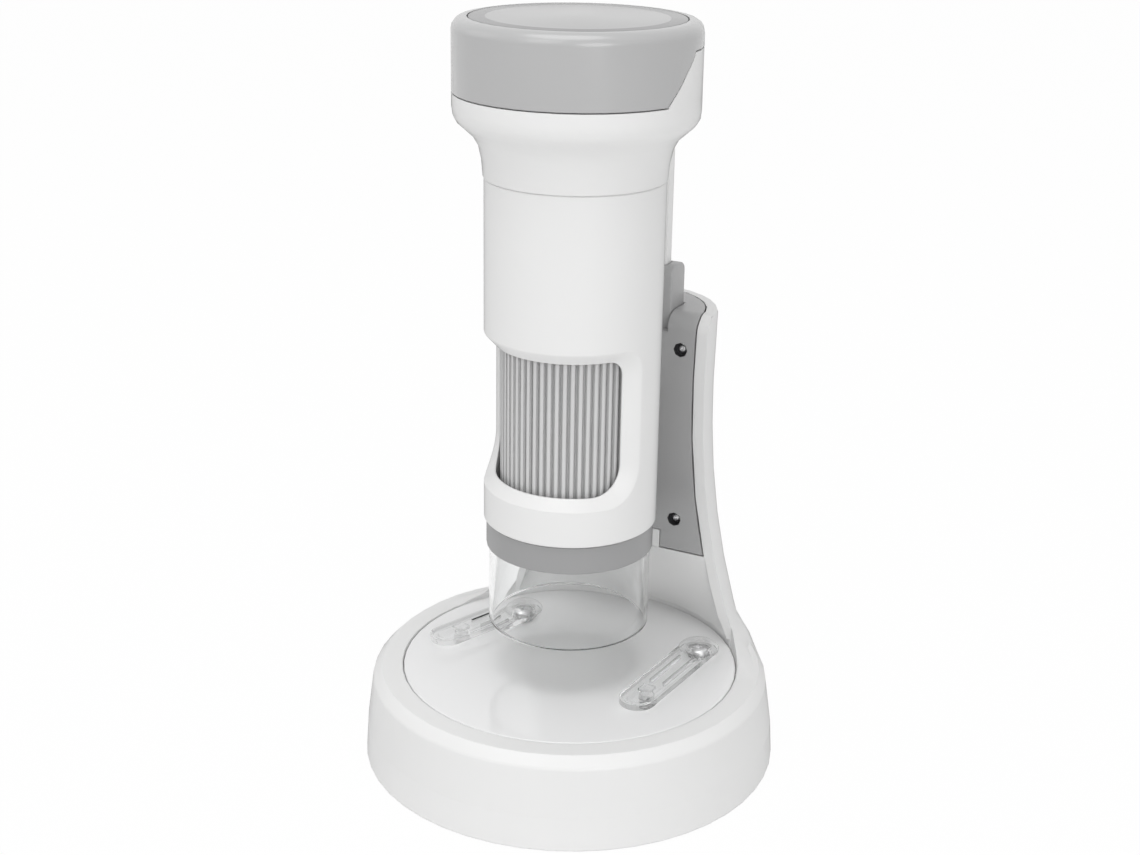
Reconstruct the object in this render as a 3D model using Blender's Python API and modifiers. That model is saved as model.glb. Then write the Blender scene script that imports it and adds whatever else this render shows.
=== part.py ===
"""A handheld digital microscope on its round stand.

Metres, +Z up. X = 0 is the plane of symmetry, -Y is the front of the stand, and the origin lies
under the centre of the round foot, on the surface that it stands on.
Every size is named once here; what seats on, fits in or lines up with a piece is worked out from it.
"""
import math

import bmesh
import bpy
from mathutils import Matrix, Vector

# Clearances and facets
GAP = 0.0003  # between touching pieces
SEAM = 0.0002  # fine seam between fixed mouldings
OVERRUN = 0.002  # how far a cutter runs past what it cuts
BASE_STEPS = 48
BODY_STEPS = 36
INNER_STEPS = 20
SMALL_STEPS = 14
TINY_STEPS = 8

# Round foot
FOOT_PROUD = 0.0006  # rubber feet below the skirt
SKIRT_R = 0.0557
CREASE_STEP = 0.00065  # from the skirt's lower edge in to each edge above it
CREASE_R = SKIRT_R - CREASE_STEP
CREASE_Z = 0.0100
BEVEL_STEP = 0.0026
BEVEL_R = SKIRT_R - BEVEL_STEP
BEVEL_Z = 0.02285
RIM_STEP = 0.0043
RIM_R = SKIRT_R - RIM_STEP
STAGE_Z = 0.0251  # top of the rim and of the stage disc
BASE_WALL = 0.0024
RIM_WIDTH = 0.0064
DISC_R = RIM_R - RIM_WIDTH
DISC_T = 0.0024
DISC_CHAMFER = 0.0003
LEDGE_WIDTH = 0.0037
LEDGE_T = 0.0020
RING_T = 0.0018  # locating ring under the disc
RING_DROP = 0.0040
COVER_Z = 0.0010
COVER_T = 0.0020
FOOT_R = 0.0050
FOOT_INSET = 0.0117
FOOT_RING_R = SKIRT_R - FOOT_INSET
FOOT_RECESS = 0.0008
BALLAST_INSET = 0.0197
BALLAST_R = SKIRT_R - BALLAST_INSET
BALLAST_T = 0.0050
BOSS_R = 0.0030
BASE_SCREW_INSET = 0.0112
BASE_SCREW_RING_R = SKIRT_R - BASE_SCREW_INSET
BASE_SHANK_R = 0.0013
BASE_SHANK_L = 0.0080
BASE_HEAD_R = 0.0025
BASE_HEAD_T = 0.0012
BOSS_HOLE_DEPTH = 0.0100

# Column, a half-round section that flares into the foot
COLUMN_DEPTH = 0.0241
COLUMN_INSET = 0.0016  # from the skirt's edge to the back of the column
COLUMN_CENTRE_Y = SKIRT_R - COLUMN_INSET - COLUMN_DEPTH
COLUMN_FRONT_STEP = 0.0016
COLUMN_FRONT_Y = COLUMN_CENTRE_Y - COLUMN_FRONT_STEP
COLUMN_HALF_W = 0.0241
COLUMN_TOP_Z = 0.1178
COLUMN_BOTTOM_Z = 0.0157
LIP = 0.00305  # width of the front lips, and the wall behind them
FLARE_START_Z = 0.0976
FLARE_W = 0.0131
FLARE_POWER_SHARE = 2.2
SWELL_W = 0.0005  # the column widens a little at its head
HEEL_TOP_Z = 0.0306
HEEL_W = 0.0040
HEEL_H = 0.0133
HEEL_TUCK = 0.0014  # how far the column turns in where it enters the foot
TOE_H = 0.0090  # concave toe where the lips run out on the rim
TOE_REACH = 0.0140
TOP_ROUND = 0.0010
ROLL_R = 0.0046  # rolled top front edge
COVE_TOP_Z = 0.0502
COVE_POWER_SHARE = 1.3
POST_R = 0.0023
POST_ROOT = 0.0012
POST_HOLE_R = 0.00115

# Front panel and its slide channel
PANEL_T = 0.0023
CHANNEL_HALF_W = 0.0129
CHANNEL_WALL = 0.0013
CHANNEL_BACK_T = 0.0020
CHANNEL_FLOOR_Z = 0.0600
CHANNEL_FLOOR_T = 0.0020
LEDGE_Z = 0.1126  # sill of the open mouth of the channel
SLOT_HALF_W = 0.0082
SLOT_Z = 0.0800
NOTCH_H = 0.0054
PANEL_SCREW_X = 0.0168
PANEL_SCREW_Z = (0.0594, 0.1081)
PANEL_HEAD_R = 0.0017
PANEL_HEAD_T = 0.0011
PANEL_SEAM = 0.0004  # between the panel and the lips
PANEL_SINK = 0.0010  # head below the panel's face
PANEL_SHANK_R = 0.00085
PANEL_SHANK_L = 0.0140
PANEL_BOSS_R = 0.0031
CROSS_L = 0.0018
CROSS_W = 0.0005
CROSS_DEPTH = 0.0006

# Carriage
CARRIAGE_H = 0.0496
CARRIAGE_D = 0.0084
CARRIAGE_ROUND = 0.0045
CARRIAGE_EDGE = 0.0005
GROOVE_FLOOR = 0.0177  # above the carriage's lower end
GROOVE_LIP_T = 0.0020
PAD_R = 0.0029
PAD_T = 0.0026
PAD_RISE = 0.0060
POCKET_DEPTH = 0.0066
SPRING_R = 0.0021
SPRING_WIRE_R = 0.00025
SPRING_TURNS = 3

# Microscope barrel
BODY_R = 0.0226
BODY_CLEAR = 0.0071  # from the barrel back to the column's front
AXIS_Y = COLUMN_FRONT_Y - BODY_CLEAR - BODY_R
BODY_WALL = 0.0031
BODY_UPPER_WALL = 0.0018
BODY_BORE_R = BODY_R - BODY_WALL
BODY_UPPER_R = BODY_R - BODY_UPPER_WALL
BODY_Z = 0.0684
NECK_SEAM_Z = 0.1582
WHEEL_STEP_Z = 0.1203
SPINE_NECK_HALF_W = 0.0075
SPINE_HEAD_HALF_W = 0.0098
SPINE_HEAD_T = 0.0029
SPINE_TOP_Z = 0.1727

# Window in the barrel
WINDOW_Z = (0.0807, 0.1161)
WINDOW_TURN = math.radians(-7)  # the window's middle, round from the front
WINDOW_HALF_ANGLE = math.radians(73)
WINDOW_CORNER = (0.0080, 0.0040)
WINDOW_LAND = 0.0004
CREASE_WINDOW_Z = (0.0781, 0.1190)
CREASE_HALF_ANGLE = math.radians(84)
CREASE_CORNER = (0.0110, 0.0060)

# Flared neck and head
HEAD_STEP = 0.0078
HEAD_R = BODY_R + HEAD_STEP
FLARE_Z = 0.1790  # upper edge of the flare
SPIGOT_H = 0.0090
HEAD_WALL = 0.0018
BEZEL_H = 0.0177
BEZEL_ROUND = 0.0029
BEZEL_WIDTH = 0.00405
GLASS_R = HEAD_R - BEZEL_WIDTH
GLASS_T = 0.0011
GLASS_LEDGE = 0.0020
GLASS_LEDGE_T = 0.0015
MODULE_T = 0.0044
FIELD_TOP_Z = 0.1908
FIELD_LOW_ANGLE = math.radians(72)
FIELD_HIGH_ANGLE = math.radians(93.5)
BUTTON_R = 0.0032
BUTTON_PROUD = 0.0008
BUTTON_FLANGE = 0.0007
BUTTON_FLANGE_T = 0.0010
BUTTON_ANGLE = math.radians(20)
BUTTON_Z = 0.1860
BUTTON_TRAVEL = 0.0006
SWITCH_W = 0.0060
SWITCH_H = 0.0055
SWITCH_D = 0.0036
BOARD_T = 0.0012
PORT_W = 0.0092
PORT_H = 0.0034
PORT_D = 0.0075
PORT_WALL = 0.0005

# Inside the barrel
FRAME_T = 0.0016
FRAME_PLATE_INSET = 0.0028
FRAME_PLATE_HALF_W = BODY_UPPER_R - FRAME_PLATE_INSET
FRAME_PLATE_T = 0.0016
FRAME_PLATE_STEP = 0.0008  # behind the barrel's axis
FRAME_PLATE_Y = AXIS_Y + FRAME_PLATE_STEP
BATTERY_INSET = 0.0058
BATTERY_HALF_W = BODY_UPPER_R - BATTERY_INSET
BATTERY_T = 0.0070
BATTERY_H = 0.0400
BATTERY_RISE = 0.0030
RIBBON_W = 0.0080
RIBBON_T = 0.0003
RIBBON_STEP = 0.0073
RIBBON_Y = AXIS_Y + RIBBON_STEP
WHEEL_RIBS = 58
WHEEL_CLEAR = 0.00115  # from the ribs out to the barrel's bore
RIB_H = 0.0009
TUBE_INSET = 0.0095
TUBE_R = BODY_R - TUBE_INSET
TUBE_WALL = 0.0012
TUBE_TOP_DROP = 0.0083
TUBE_TOP_Z = WHEEL_STEP_Z - TUBE_TOP_DROP
TUBE_FLANGE_T = 0.0012
BARREL_WALL = 0.0031
BARREL_SEAT = 0.0011
BARREL_Z = 0.0740
BARREL_H = 0.0220
PIN_R = 0.0010
PIN_RISE = 0.0140
PIN_REACH = 0.0023  # past the guide tube into the wheel's groove
LENS_T = (0.0040, 0.0030)
LENS_BULGE = 0.0010
FOCUS_TRAVEL = 0.0025
FOCUS_ANGLE = math.radians(150)
SENSOR_HALF_W = 0.0040
SENSOR_T = 0.0012

# Light ring and clear hood
RING_STEP = 0.00065
RING_R = BODY_R - RING_STEP
RING_H = 0.0071
RING_WALL = 0.00105
SHELF_T = 0.0014
SHELF_REACH = 0.0040
SHELF_R = RING_R - RING_WALL - SHELF_REACH
SHELF_RISE = 0.0043
SPIGOT_WALL = 0.0012
WHEEL_Z = 0.0770
LED_BOARD_INSET = 0.0026
LED_BOARD_R = TUBE_R - LED_BOARD_INSET
LED_INSET = 0.0029
LED_RING_R = SHELF_R - LED_INSET
LED_R = 0.0015
LED_T = 0.0018
LED_COUNT = 6
HOOD_STEP = 0.00065
HOOD_R = RING_R - HOOD_STEP
HOOD_WALL = 0.0017
HOOD_Z = 0.0390
HOOD_NECK_STEP = 0.0007

# Stage clips
CLIP_PIVOT_SHARES = {"right": (0.67, 0.405), "left": (-0.545, 0.4)}  # across and back, in the disc's radius
CLIP_L = 0.0340
CLIP_Z = 0.0264
CLIP_T = 0.0022
CLIP_HALF_W = 0.0043
CLIP_TIP_R = 0.0047
CLIP_COLLAR_R = 0.0056
CLIP_COLLAR_RISE = 0.0005
CLIP_SLOT_HALF_W = 0.0019
CLIP_SLOT_L = 0.0150
CLIP_SLOT_DEPTH = 0.0009
CLIP_EDGE = 0.0007
CLIP_PAD_R = 0.0022
CLIP_PAD_REACH = 0.0290
CLIP_ANGLES = {"right": math.radians(-4), "left": math.radians(-19)}  # as the clips stand, turned from straight forward
CLIP_BUSH_R = 0.0021
CLIP_SHANK_R = 0.0011
CLIP_HEAD_R = 0.0030
CLIP_HEAD_T = 0.0010
CLIP_BOSS_R = 0.0035
CLIP_SHANK_L = 0.0095

# Worked out from the sizes above
LEDGE_TOP_Z = STAGE_Z - DISC_T - GAP
LEDGE_LOW_Z = LEDGE_TOP_Z - LEDGE_T
SEAT_R = DISC_R + SEAM
LEDGE_R = SEAT_R - LEDGE_WIDTH
COVER_TOP_Z = COVER_Z + COVER_T
BOSS_Z = COVER_TOP_Z + GAP
REAR_Y = COLUMN_CENTRE_Y + COLUMN_DEPTH
PANEL_BACK_Y = COLUMN_FRONT_Y + PANEL_T
CARRIAGE_Y = PANEL_BACK_Y + GAP
CARRIAGE_BACK_Y = CARRIAGE_Y + CARRIAGE_D
CHANNEL_BACK_Y = CARRIAGE_BACK_Y + GAP + SEAM / 2
CARRIAGE_HALF_W = CHANNEL_HALF_W - GAP
CARRIAGE_Z = SLOT_Z
GROOVE_Z = CARRIAGE_Z + GROOVE_FLOOR
SPINE_Z = GROOVE_Z + GAP
LIP_BACK_Y = CARRIAGE_Y + GROOVE_LIP_T
SPINE_HEAD_Y = LIP_BACK_Y + GAP
SPINE_BACK_Y = SPINE_HEAD_Y + SPINE_HEAD_T
GROOVE_BACK_Y = SPINE_BACK_Y + GAP
FIELD_R = HEAD_R - HEAD_WALL - HEAD_WALL + SEAM / 2
SPIGOT_R = HEAD_R - HEAD_WALL - GAP
BEZEL_Z = FLARE_Z + GAP
BEZEL_TOP_Z = BEZEL_Z + BEZEL_H
GLASS_SEAT_Z = BEZEL_TOP_Z - GLASS_T - GAP
MODULE_R = GLASS_R + GAP - GLASS_LEDGE - GAP
FRAME_Z = WHEEL_STEP_Z + GAP
FRAME_TOP_Z = FLARE_Z + SEAM * 2
BOARD_Z = FRAME_TOP_Z + GAP
BOARD_TOP_Z = BOARD_Z + BOARD_T
WHEEL_R = BODY_BORE_R - WHEEL_CLEAR
RING_SPIGOT_R = BODY_BORE_R - GAP
WHEEL_TOP_Z = WHEEL_STEP_Z
HUB_R = TUBE_R + GAP
BARREL_R = TUBE_R - TUBE_WALL - GAP
PIN_Z = BARREL_Z + PIN_RISE
FOCUS_RATIO = FOCUS_TRAVEL / FOCUS_ANGLE
RING_TOP_Z = BODY_Z - GAP
RING_Z = RING_TOP_Z - RING_H
SPIGOT_IN_R = RING_SPIGOT_R - SPIGOT_WALL
SHELF_Z = RING_Z + SHELF_RISE
LED_BOARD_Z = SHELF_Z + SHELF_T + GAP
TUBE_Z = LED_BOARD_Z + BOARD_T + GAP
HOOD_TOP_Z = SHELF_Z - GAP

PARTS = None
CUTTERS = None
MATERIALS = {}


def make_collections():
    """The parts' collection, and one for the cutters that the build leaves out."""
    global PARTS, CUTTERS
    for obj in list(bpy.data.objects):
        bpy.data.objects.remove(obj)
    PARTS = bpy.data.collections.new("digital_microscope")
    CUTTERS = bpy.data.collections.new("cutters")
    for collection in (PARTS, CUTTERS):
        bpy.context.scene.collection.children.link(collection)


def make_material(name, colour, roughness, metallic=0.0, transmission=0.0):
    material = bpy.data.materials.new(name)
    material.use_nodes = True
    shader = material.node_tree.nodes["Principled BSDF"]
    shader.inputs["Base Color"].default_value = (*colour, 1)
    shader.inputs["Roughness"].default_value = roughness
    shader.inputs["Metallic"].default_value = metallic
    shader.inputs["Transmission Weight"].default_value = transmission
    material.diffuse_color = (*colour, 1)
    MATERIALS[name] = material


def add_object(name, mesh, material=None, place=(0, 0, 0), turn=(0, 0, 0), smooth=False):
    """Link a mesh as a part, or as a cutter where it has no material."""
    obj = bpy.data.objects.new(name, mesh)
    obj.location = place
    obj.rotation_euler = turn
    if smooth:
        mesh.shade_smooth()
        mesh.set_sharp_from_angle(angle=math.radians(35))
    if material is None:
        CUTTERS.objects.link(obj)
        obj.hide_render = True
        obj.display_type = "WIRE"
    else:
        PARTS.objects.link(obj)
        mesh.materials.append(MATERIALS[material])
    return obj


def from_bmesh(name, bm, **options):
    bmesh.ops.recalc_face_normals(bm, faces=bm.faces)
    mesh = bpy.data.meshes.new(name)
    bm.to_mesh(mesh)
    bm.free()
    return add_object(name, mesh, **options)


def box(name, low, high, **options):
    """A box between two corners."""
    bm = bmesh.new()
    bmesh.ops.create_cube(bm, size=1)
    size = Vector(high) - Vector(low)
    middle = (Vector(high) + Vector(low)) / 2
    bmesh.ops.transform(bm, matrix=Matrix.Translation(middle) @ Matrix.Diagonal((*size, 1)), verts=bm.verts)
    return from_bmesh(name, bm, **options)


def rod(name, radius, low, high, steps=SMALL_STEPS, end_radius=None, **options):
    """A cylinder or cone along local Z between two heights."""
    bm = bmesh.new()
    middle = Matrix.Translation((0, 0, (low + high) / 2))
    upper = radius if end_radius is None else end_radius
    bmesh.ops.create_cone(
        bm, cap_ends=True, segments=steps, radius1=radius, radius2=upper, depth=high - low, matrix=middle
    )
    return from_bmesh(name, bm, **options)


def turned(name, profile, steps=BODY_STEPS, material=None, place=(0, 0, 0), turn=(0, 0, 0), ring=False):
    """A solid of revolution: the profile's outer side runs from top to bottom."""
    mesh = bpy.data.meshes.new(name)
    count = len(profile)
    edges = [(i, i + 1) for i in range(count - 1)] + ([(count - 1, 0)] if ring else [])
    mesh.from_pydata([(r, 0, z) for r, z in profile], edges, [])
    obj = add_object(name, mesh, material, place, turn)
    screw = obj.modifiers.new("Turn", "SCREW")
    screw.steps = steps
    screw.render_steps = steps
    screw.use_merge_vertices = True
    screw.merge_threshold = 0.00001
    screw.use_smooth_shade = False
    return obj


def slab(name, outline, thickness, bevel=0, **options):
    """A flat outline in local XY with its thickness centred on the plane."""
    curve = bpy.data.curves.new(name, "CURVE")
    curve.dimensions = "2D"
    curve.fill_mode = "BOTH"
    curve.extrude = thickness / 2
    spline = curve.splines.new("POLY")
    spline.points.add(len(outline) - 1)
    for point, (x, y) in zip(spline.points, outline):
        point.co = (x, y, 0, 1)
    spline.use_cyclic_u = True
    guide = bpy.data.objects.new(name + "_outline", curve)
    CUTTERS.objects.link(guide)
    guide.hide_render = True
    bpy.context.view_layer.update()
    graph = bpy.context.evaluated_depsgraph_get()
    mesh = bpy.data.meshes.new_from_object(guide.evaluated_get(graph))
    bpy.data.objects.remove(guide)
    mesh.name = name
    bm = bmesh.new()
    bm.from_mesh(mesh)
    bmesh.ops.remove_doubles(bm, verts=bm.verts, dist=0.000001)
    bpy.data.meshes.remove(mesh)
    obj = from_bmesh(name, bm, **options)
    if bevel:
        add_bevel(obj, bevel, 1)
    return obj


def loft(name, rings, **options):
    """A solid skinned over closed rings that all have the same number of points."""
    bm = bmesh.new()
    loops = [[bm.verts.new(point) for point in ring] for ring in rings]
    for lower, upper in zip(loops, loops[1:]):
        for i in range(len(lower)):
            j = (i + 1) % len(lower)
            bm.faces.new((lower[i], lower[j], upper[j], upper[i]))
    bm.faces.new(loops[0][::-1])
    bm.faces.new(loops[-1])
    bmesh.ops.triangulate(bm, faces=[face for face in bm.faces if len(face.verts) == 4], quad_method="FIXED")
    return from_bmesh(name, bm, **options)


def ladder(name, columns, **options):
    """A solid between a lower and an upper row of points, one column of pairs at each step round the axis."""
    bm = bmesh.new()
    made = [([bm.verts.new(p) for p in low], [bm.verts.new(p) for p in high]) for low, high in columns]
    for (low, high), (next_low, next_high) in zip(made, made[1:]):
        for k in range(len(low) - 1):
            bm.faces.new((low[k], next_low[k], next_low[k + 1], low[k + 1]))
            bm.faces.new((high[k], high[k + 1], next_high[k + 1], next_high[k]))
        bm.faces.new((low[0], high[0], next_high[0], next_low[0]))
        bm.faces.new((low[-1], next_low[-1], next_high[-1], high[-1]))
    for low, high in (made[0], made[-1]):
        for k in range(len(low) - 1):
            bm.faces.new((low[k], low[k + 1], high[k + 1], high[k]))
    bmesh.ops.triangulate(bm, faces=bm.faces, quad_method="FIXED")
    return from_bmesh(name, bm, **options)


def add_bevel(obj, width, segments=2, angle=math.radians(40)):
    bevel = obj.modifiers.new("Bevel", "BEVEL")
    bevel.width = width
    bevel.segments = segments
    bevel.limit_method = "ANGLE"
    bevel.angle_limit = angle
    return obj


def cut(obj, *cutters):
    combine(obj, "DIFFERENCE", cutters)
    return obj


def join(obj, *others):
    combine(obj, "UNION", others)
    return obj


def combine(obj, operation, others):
    for other in others:
        boolean = obj.modifiers.new(other.name, "BOOLEAN")
        boolean.operation = operation
        boolean.object = other
        boolean.solver = "EXACT"
        weld = obj.modifiers.new("Weld", "WELD")
        weld.merge_threshold = 0.000005


def arc(centre_r, centre_z, radius, start, end, steps):
    """Points on an arc, angles in degrees measured from the outward direction."""
    points = []
    for i in range(steps + 1):
        angle = math.radians(start + (end - start) * i / steps)
        points.append((centre_r + radius * math.cos(angle), centre_z + radius * math.sin(angle)))
    return points


def on_axis(radius, azimuth, height):
    """A point round the barrel's axis, azimuth measured from the front toward +X."""
    return (radius * math.sin(azimuth), AXIS_Y - radius * math.cos(azimuth), height)


def capsule(length, start_r, end_r, steps):
    """An outline round two circles, the first at the origin and the other at -Y."""
    slope = math.asin((start_r - end_r) / length)
    points = []
    for i in range(steps + 1):
        angle = -slope + (math.pi + 2 * slope) * i / steps
        points.append((start_r * math.cos(angle), start_r * math.sin(angle)))
    for i in range(steps + 1):
        angle = math.pi + slope + (math.pi - 2 * slope) * i / steps
        points.append((end_r * math.cos(angle), end_r * math.sin(angle) - length))
    return points


def half_width(z):
    """The column's half width at a height."""
    width = COLUMN_HALF_W
    if z < FLARE_START_Z:
        width += FLARE_W * ((FLARE_START_Z - z) / (FLARE_START_Z - STAGE_Z)) ** FLARE_POWER_SHARE
    else:
        width += SWELL_W * ((z - FLARE_START_Z) / (COLUMN_TOP_Z - FLARE_START_Z)) ** 1.5
    heel = min(max((HEEL_TOP_Z - z) / HEEL_H, 0), 1)
    return width + HEEL_W * math.sin(math.pi / 2 * heel)


def toe(z):
    """How far the lips' front line has moved forward at a height, as a share of its reach."""
    rise = min(max((z - STAGE_Z) / TOE_H, 0), 1)
    return 1 - math.sqrt(1 - (1 - rise) ** 2)


def round_section(z, inset, front, shrink=0, steps=8):
    """One half-round ring of the column: a straight front and a half-elliptic back, kept inside the foot."""
    width = half_width(z) - inset - shrink
    depth = COLUMN_DEPTH - inset - shrink
    limit = REAR_Y - inset
    if z < BEVEL_Z - LEDGE_T:
        limit -= HEEL_TUCK
    forward = toe(z) if front is None else 0
    front_y = COLUMN_FRONT_Y - TOE_REACH * forward if front is None else front
    side = []
    for i in range(3):
        y = front_y + (COLUMN_CENTRE_Y - front_y) * i / 3
        swung = math.sqrt(width**2 + COLUMN_CENTRE_Y**2 - y**2)
        side.append((width + (swung - width) * forward, y))
    for i in range(steps + 1):
        angle = math.pi / 2 * i / steps
        side.append((width * math.cos(angle), COLUMN_CENTRE_Y + depth * math.sin(angle)))
    held = []
    for x, y in side:
        scale = min(1, limit / math.hypot(x, y))
        held.append((x * scale, y * scale, z))
    return held + [(-x, y, height) for x, y, height in held[-2::-1]]


def cove_y(x, z, z_low=STAGE_Z):
    """The cove's surface under the panel: from the panel's plane back to the disc's rim."""
    share = min(max((COVE_TOP_Z - z) / (COVE_TOP_Z - z_low), 0), 1)
    return COLUMN_FRONT_Y + (math.sqrt(max(DISC_R**2 - x**2, 0)) - COLUMN_FRONT_Y) * share**COVE_POWER_SHARE


def heights(low, high, count):
    return [low + (high - low) * i / count for i in range(count + 1)]


def cavity_ring(z, open_front):
    """The column's hollow at a height, closed by the cove's wall below the panel."""
    half = half_width(z) - LIP
    depth = COLUMN_DEPTH - LIP
    limit = REAR_Y - LIP
    floor_z = max(z, STAGE_Z)
    side = []
    if open_front:
        start = 0
        front_y = COLUMN_FRONT_Y - OVERRUN
        side = [(half, front_y + (COLUMN_CENTRE_Y - front_y) * i / 2) for i in range(2)]
    else:
        front_y = max(cove_y(half, floor_z) + BASE_WALL, COLUMN_CENTRE_Y + SEAM)
        start = math.asin((front_y - COLUMN_CENTRE_Y) / depth)
    count = 9 - len(side)
    for i in range(count + 1):
        angle = start + (math.pi / 2 - start) * i / count
        side.append((half * math.cos(angle), COLUMN_CENTRE_Y + depth * math.sin(angle)))
    held = []
    for x, y in side:
        scale = min(1, limit / math.hypot(x, y))
        held.append((x * scale, y * scale, z))
    ring = held + [(-x, y, height) for x, y, height in held[-2::-1]]
    edge = ring[0][0]
    for i in range(1, 8):
        x = -edge + 2 * edge * i / 8
        y = front_y if open_front else cove_y(x, floor_z) + BASE_WALL
        ring.append((x, y, z))
    return ring


def rolled_cutter(name, front_y, top_z):
    """Cuts the top front edge to a quarter round."""
    outline = [(front_y - OVERRUN, top_z - ROLL_R)]
    for i in range(9):
        angle = math.pi / 2 * i / 8
        y = front_y + ROLL_R * (1 - math.cos(angle))
        outline.append((y, top_z - ROLL_R + ROLL_R * math.sin(angle)))
    outline += [(front_y + ROLL_R, top_z + OVERRUN), (front_y - OVERRUN, top_z + OVERRUN)]
    return slab(
        name, outline, 4 * COLUMN_HALF_W, turn=(math.pi / 2, 0, math.pi / 2)
    )


def back_wall_y(x, z):
    """The inner face of the column's rear wall."""
    half = half_width(z) - LIP
    return COLUMN_CENTRE_Y + (COLUMN_DEPTH - LIP) * math.sqrt(1 - (x / half) ** 2)


def make_stand():
    """The round foot and the half-round column, one moulding."""
    shell = turned(
        "stand_shell",
        [(0, STAGE_Z), (RIM_R, STAGE_Z), (BEVEL_R, BEVEL_Z), (CREASE_R, CREASE_Z),
         (SKIRT_R, FOOT_PROUD), (0, FOOT_PROUD)],
        BASE_STEPS, "white_plastic",
    )
    levels = [COLUMN_BOTTOM_Z, BEVEL_Z - LEDGE_T, STAGE_Z]
    levels += [STAGE_Z + TOE_H * share for share in (0.15, 0.35, 0.65, 1)]
    levels += heights(STAGE_Z + TOE_H, FLARE_START_Z, 5)[1:]
    levels += [COLUMN_TOP_Z - TOP_ROUND]
    rings = [round_section(z, 0, None) for z in levels]
    rings.append(round_section(COLUMN_TOP_Z - TOP_ROUND * 0.3, 0, None, TOP_ROUND * 0.3))
    rings.append(round_section(COLUMN_TOP_Z, 0, None, TOP_ROUND))
    column = loft("column_body", rings)
    cut(column, rolled_cutter("column_roll", COLUMN_FRONT_Y, COLUMN_TOP_Z))
    join(shell, column)

    inner_crease_r = CREASE_R - BASE_WALL
    hollow = turned(
        "foot_hollow",
        [(0, STAGE_Z + OVERRUN), (SEAT_R, STAGE_Z + OVERRUN), (SEAT_R, LEDGE_TOP_Z),
         (LEDGE_R, LEDGE_TOP_Z), (LEDGE_R, LEDGE_LOW_Z), (SEAT_R + BASE_WALL, LEDGE_LOW_Z),
         (SEAT_R + BASE_WALL, STAGE_Z - BASE_WALL), (BEVEL_R - BASE_WALL - SEAM, STAGE_Z - BASE_WALL),
         (inner_crease_r, CREASE_Z), (SKIRT_R - BASE_WALL, FOOT_PROUD - OVERRUN), (0, FOOT_PROUD - OVERRUN)],
        BASE_STEPS,
    )
    cut(shell, hollow)

    # The stage's round opening in the lips' toes, and the cove under the panel
    toe_cut = rod("toe_cut", SEAT_R + SEAM, STAGE_Z - SEAM, STAGE_Z + TOE_H + OVERRUN, BASE_STEPS)
    behind = box("behind_front", (-2 * SEAT_R, COLUMN_FRONT_Y, 0), (2 * SEAT_R, 2 * SEAT_R, COLUMN_TOP_Z))
    cut(toe_cut, behind)
    cut(shell, toe_cut)
    rings = []
    for z in [LEDGE_TOP_Z] + heights(STAGE_Z, COVE_TOP_Z, 6):
        half = min(half_width(max(z, STAGE_Z)) - LIP, math.sqrt(SEAT_R**2 - COLUMN_FRONT_Y**2) - GAP)
        front = COLUMN_FRONT_Y - OVERRUN
        ring = [(half, front, z)]
        for i in range(11):
            x = half - 2 * half * i / 10
            ring.append((x, max(cove_y(x, max(z, STAGE_Z)), COLUMN_FRONT_Y), z))
        ring.append((-half, front, z))
        rings.append(ring)
    cove = loft("cove_cut", rings)
    cut(shell, cove)

    rings = [cavity_ring(z, False) for z in [LEDGE_LOW_Z + SEAM * 3] + heights(STAGE_Z, COVE_TOP_Z - SEAM, 4)]
    rings += [cavity_ring(z, True) for z in heights(COVE_TOP_Z, COLUMN_TOP_Z, 4)]
    rings.append([(x, y, COLUMN_TOP_Z + OVERRUN) for x, y, _ in rings[-1]])
    cavity = loft("column_hollow", rings)
    cut(shell, cavity)

    tab = box(
        "panel_tab",
        (-CHANNEL_HALF_W + GAP, COLUMN_FRONT_Y + SEAM / 2, COVE_TOP_Z - GAP * 2),
        (CHANNEL_HALF_W - GAP, COLUMN_FRONT_Y + BASE_WALL - SEAM, COVE_TOP_Z + NOTCH_H - GAP),
    )
    join(shell, tab)
    front = PANEL_BACK_Y + PANEL_T + PANEL_T + SEAM * 5
    number = 0
    for z in PANEL_SCREW_Z:
        for x in (-PANEL_SCREW_X, PANEL_SCREW_X):
            number += 1
            back = back_wall_y(PANEL_SCREW_X, z) + POST_ROOT
            post = rod(f"post_{number}", POST_R, -back, -front, TINY_STEPS, place=(x, 0, z),
                       turn=(math.pi / 2, 0, 0))
            join(shell, post)
            hole = rod(f"post_hole_{number}", POST_HOLE_R, -back + POST_ROOT, -front + OVERRUN, TINY_STEPS,
                       place=(x, 0, z), turn=(math.pi / 2, 0, 0))
            cut(shell, hole)
    for i in range(4):
        angle = math.pi / 2 * i
        place = (BASE_SCREW_RING_R * math.cos(angle), BASE_SCREW_RING_R * math.sin(angle), 0)
        boss = rod(f"foot_boss_{i + 1}", BOSS_R, BOSS_Z, LEDGE_LOW_Z + LEDGE_T / 2, TINY_STEPS, place=place)
        join(shell, boss)
        hole = rod(f"foot_hole_{i + 1}", BASE_SHANK_R + GAP, BOSS_Z - OVERRUN, BOSS_Z + BOSS_HOLE_DEPTH,
                   TINY_STEPS, place=place)
        cut(shell, hole)
    return shell


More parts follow.
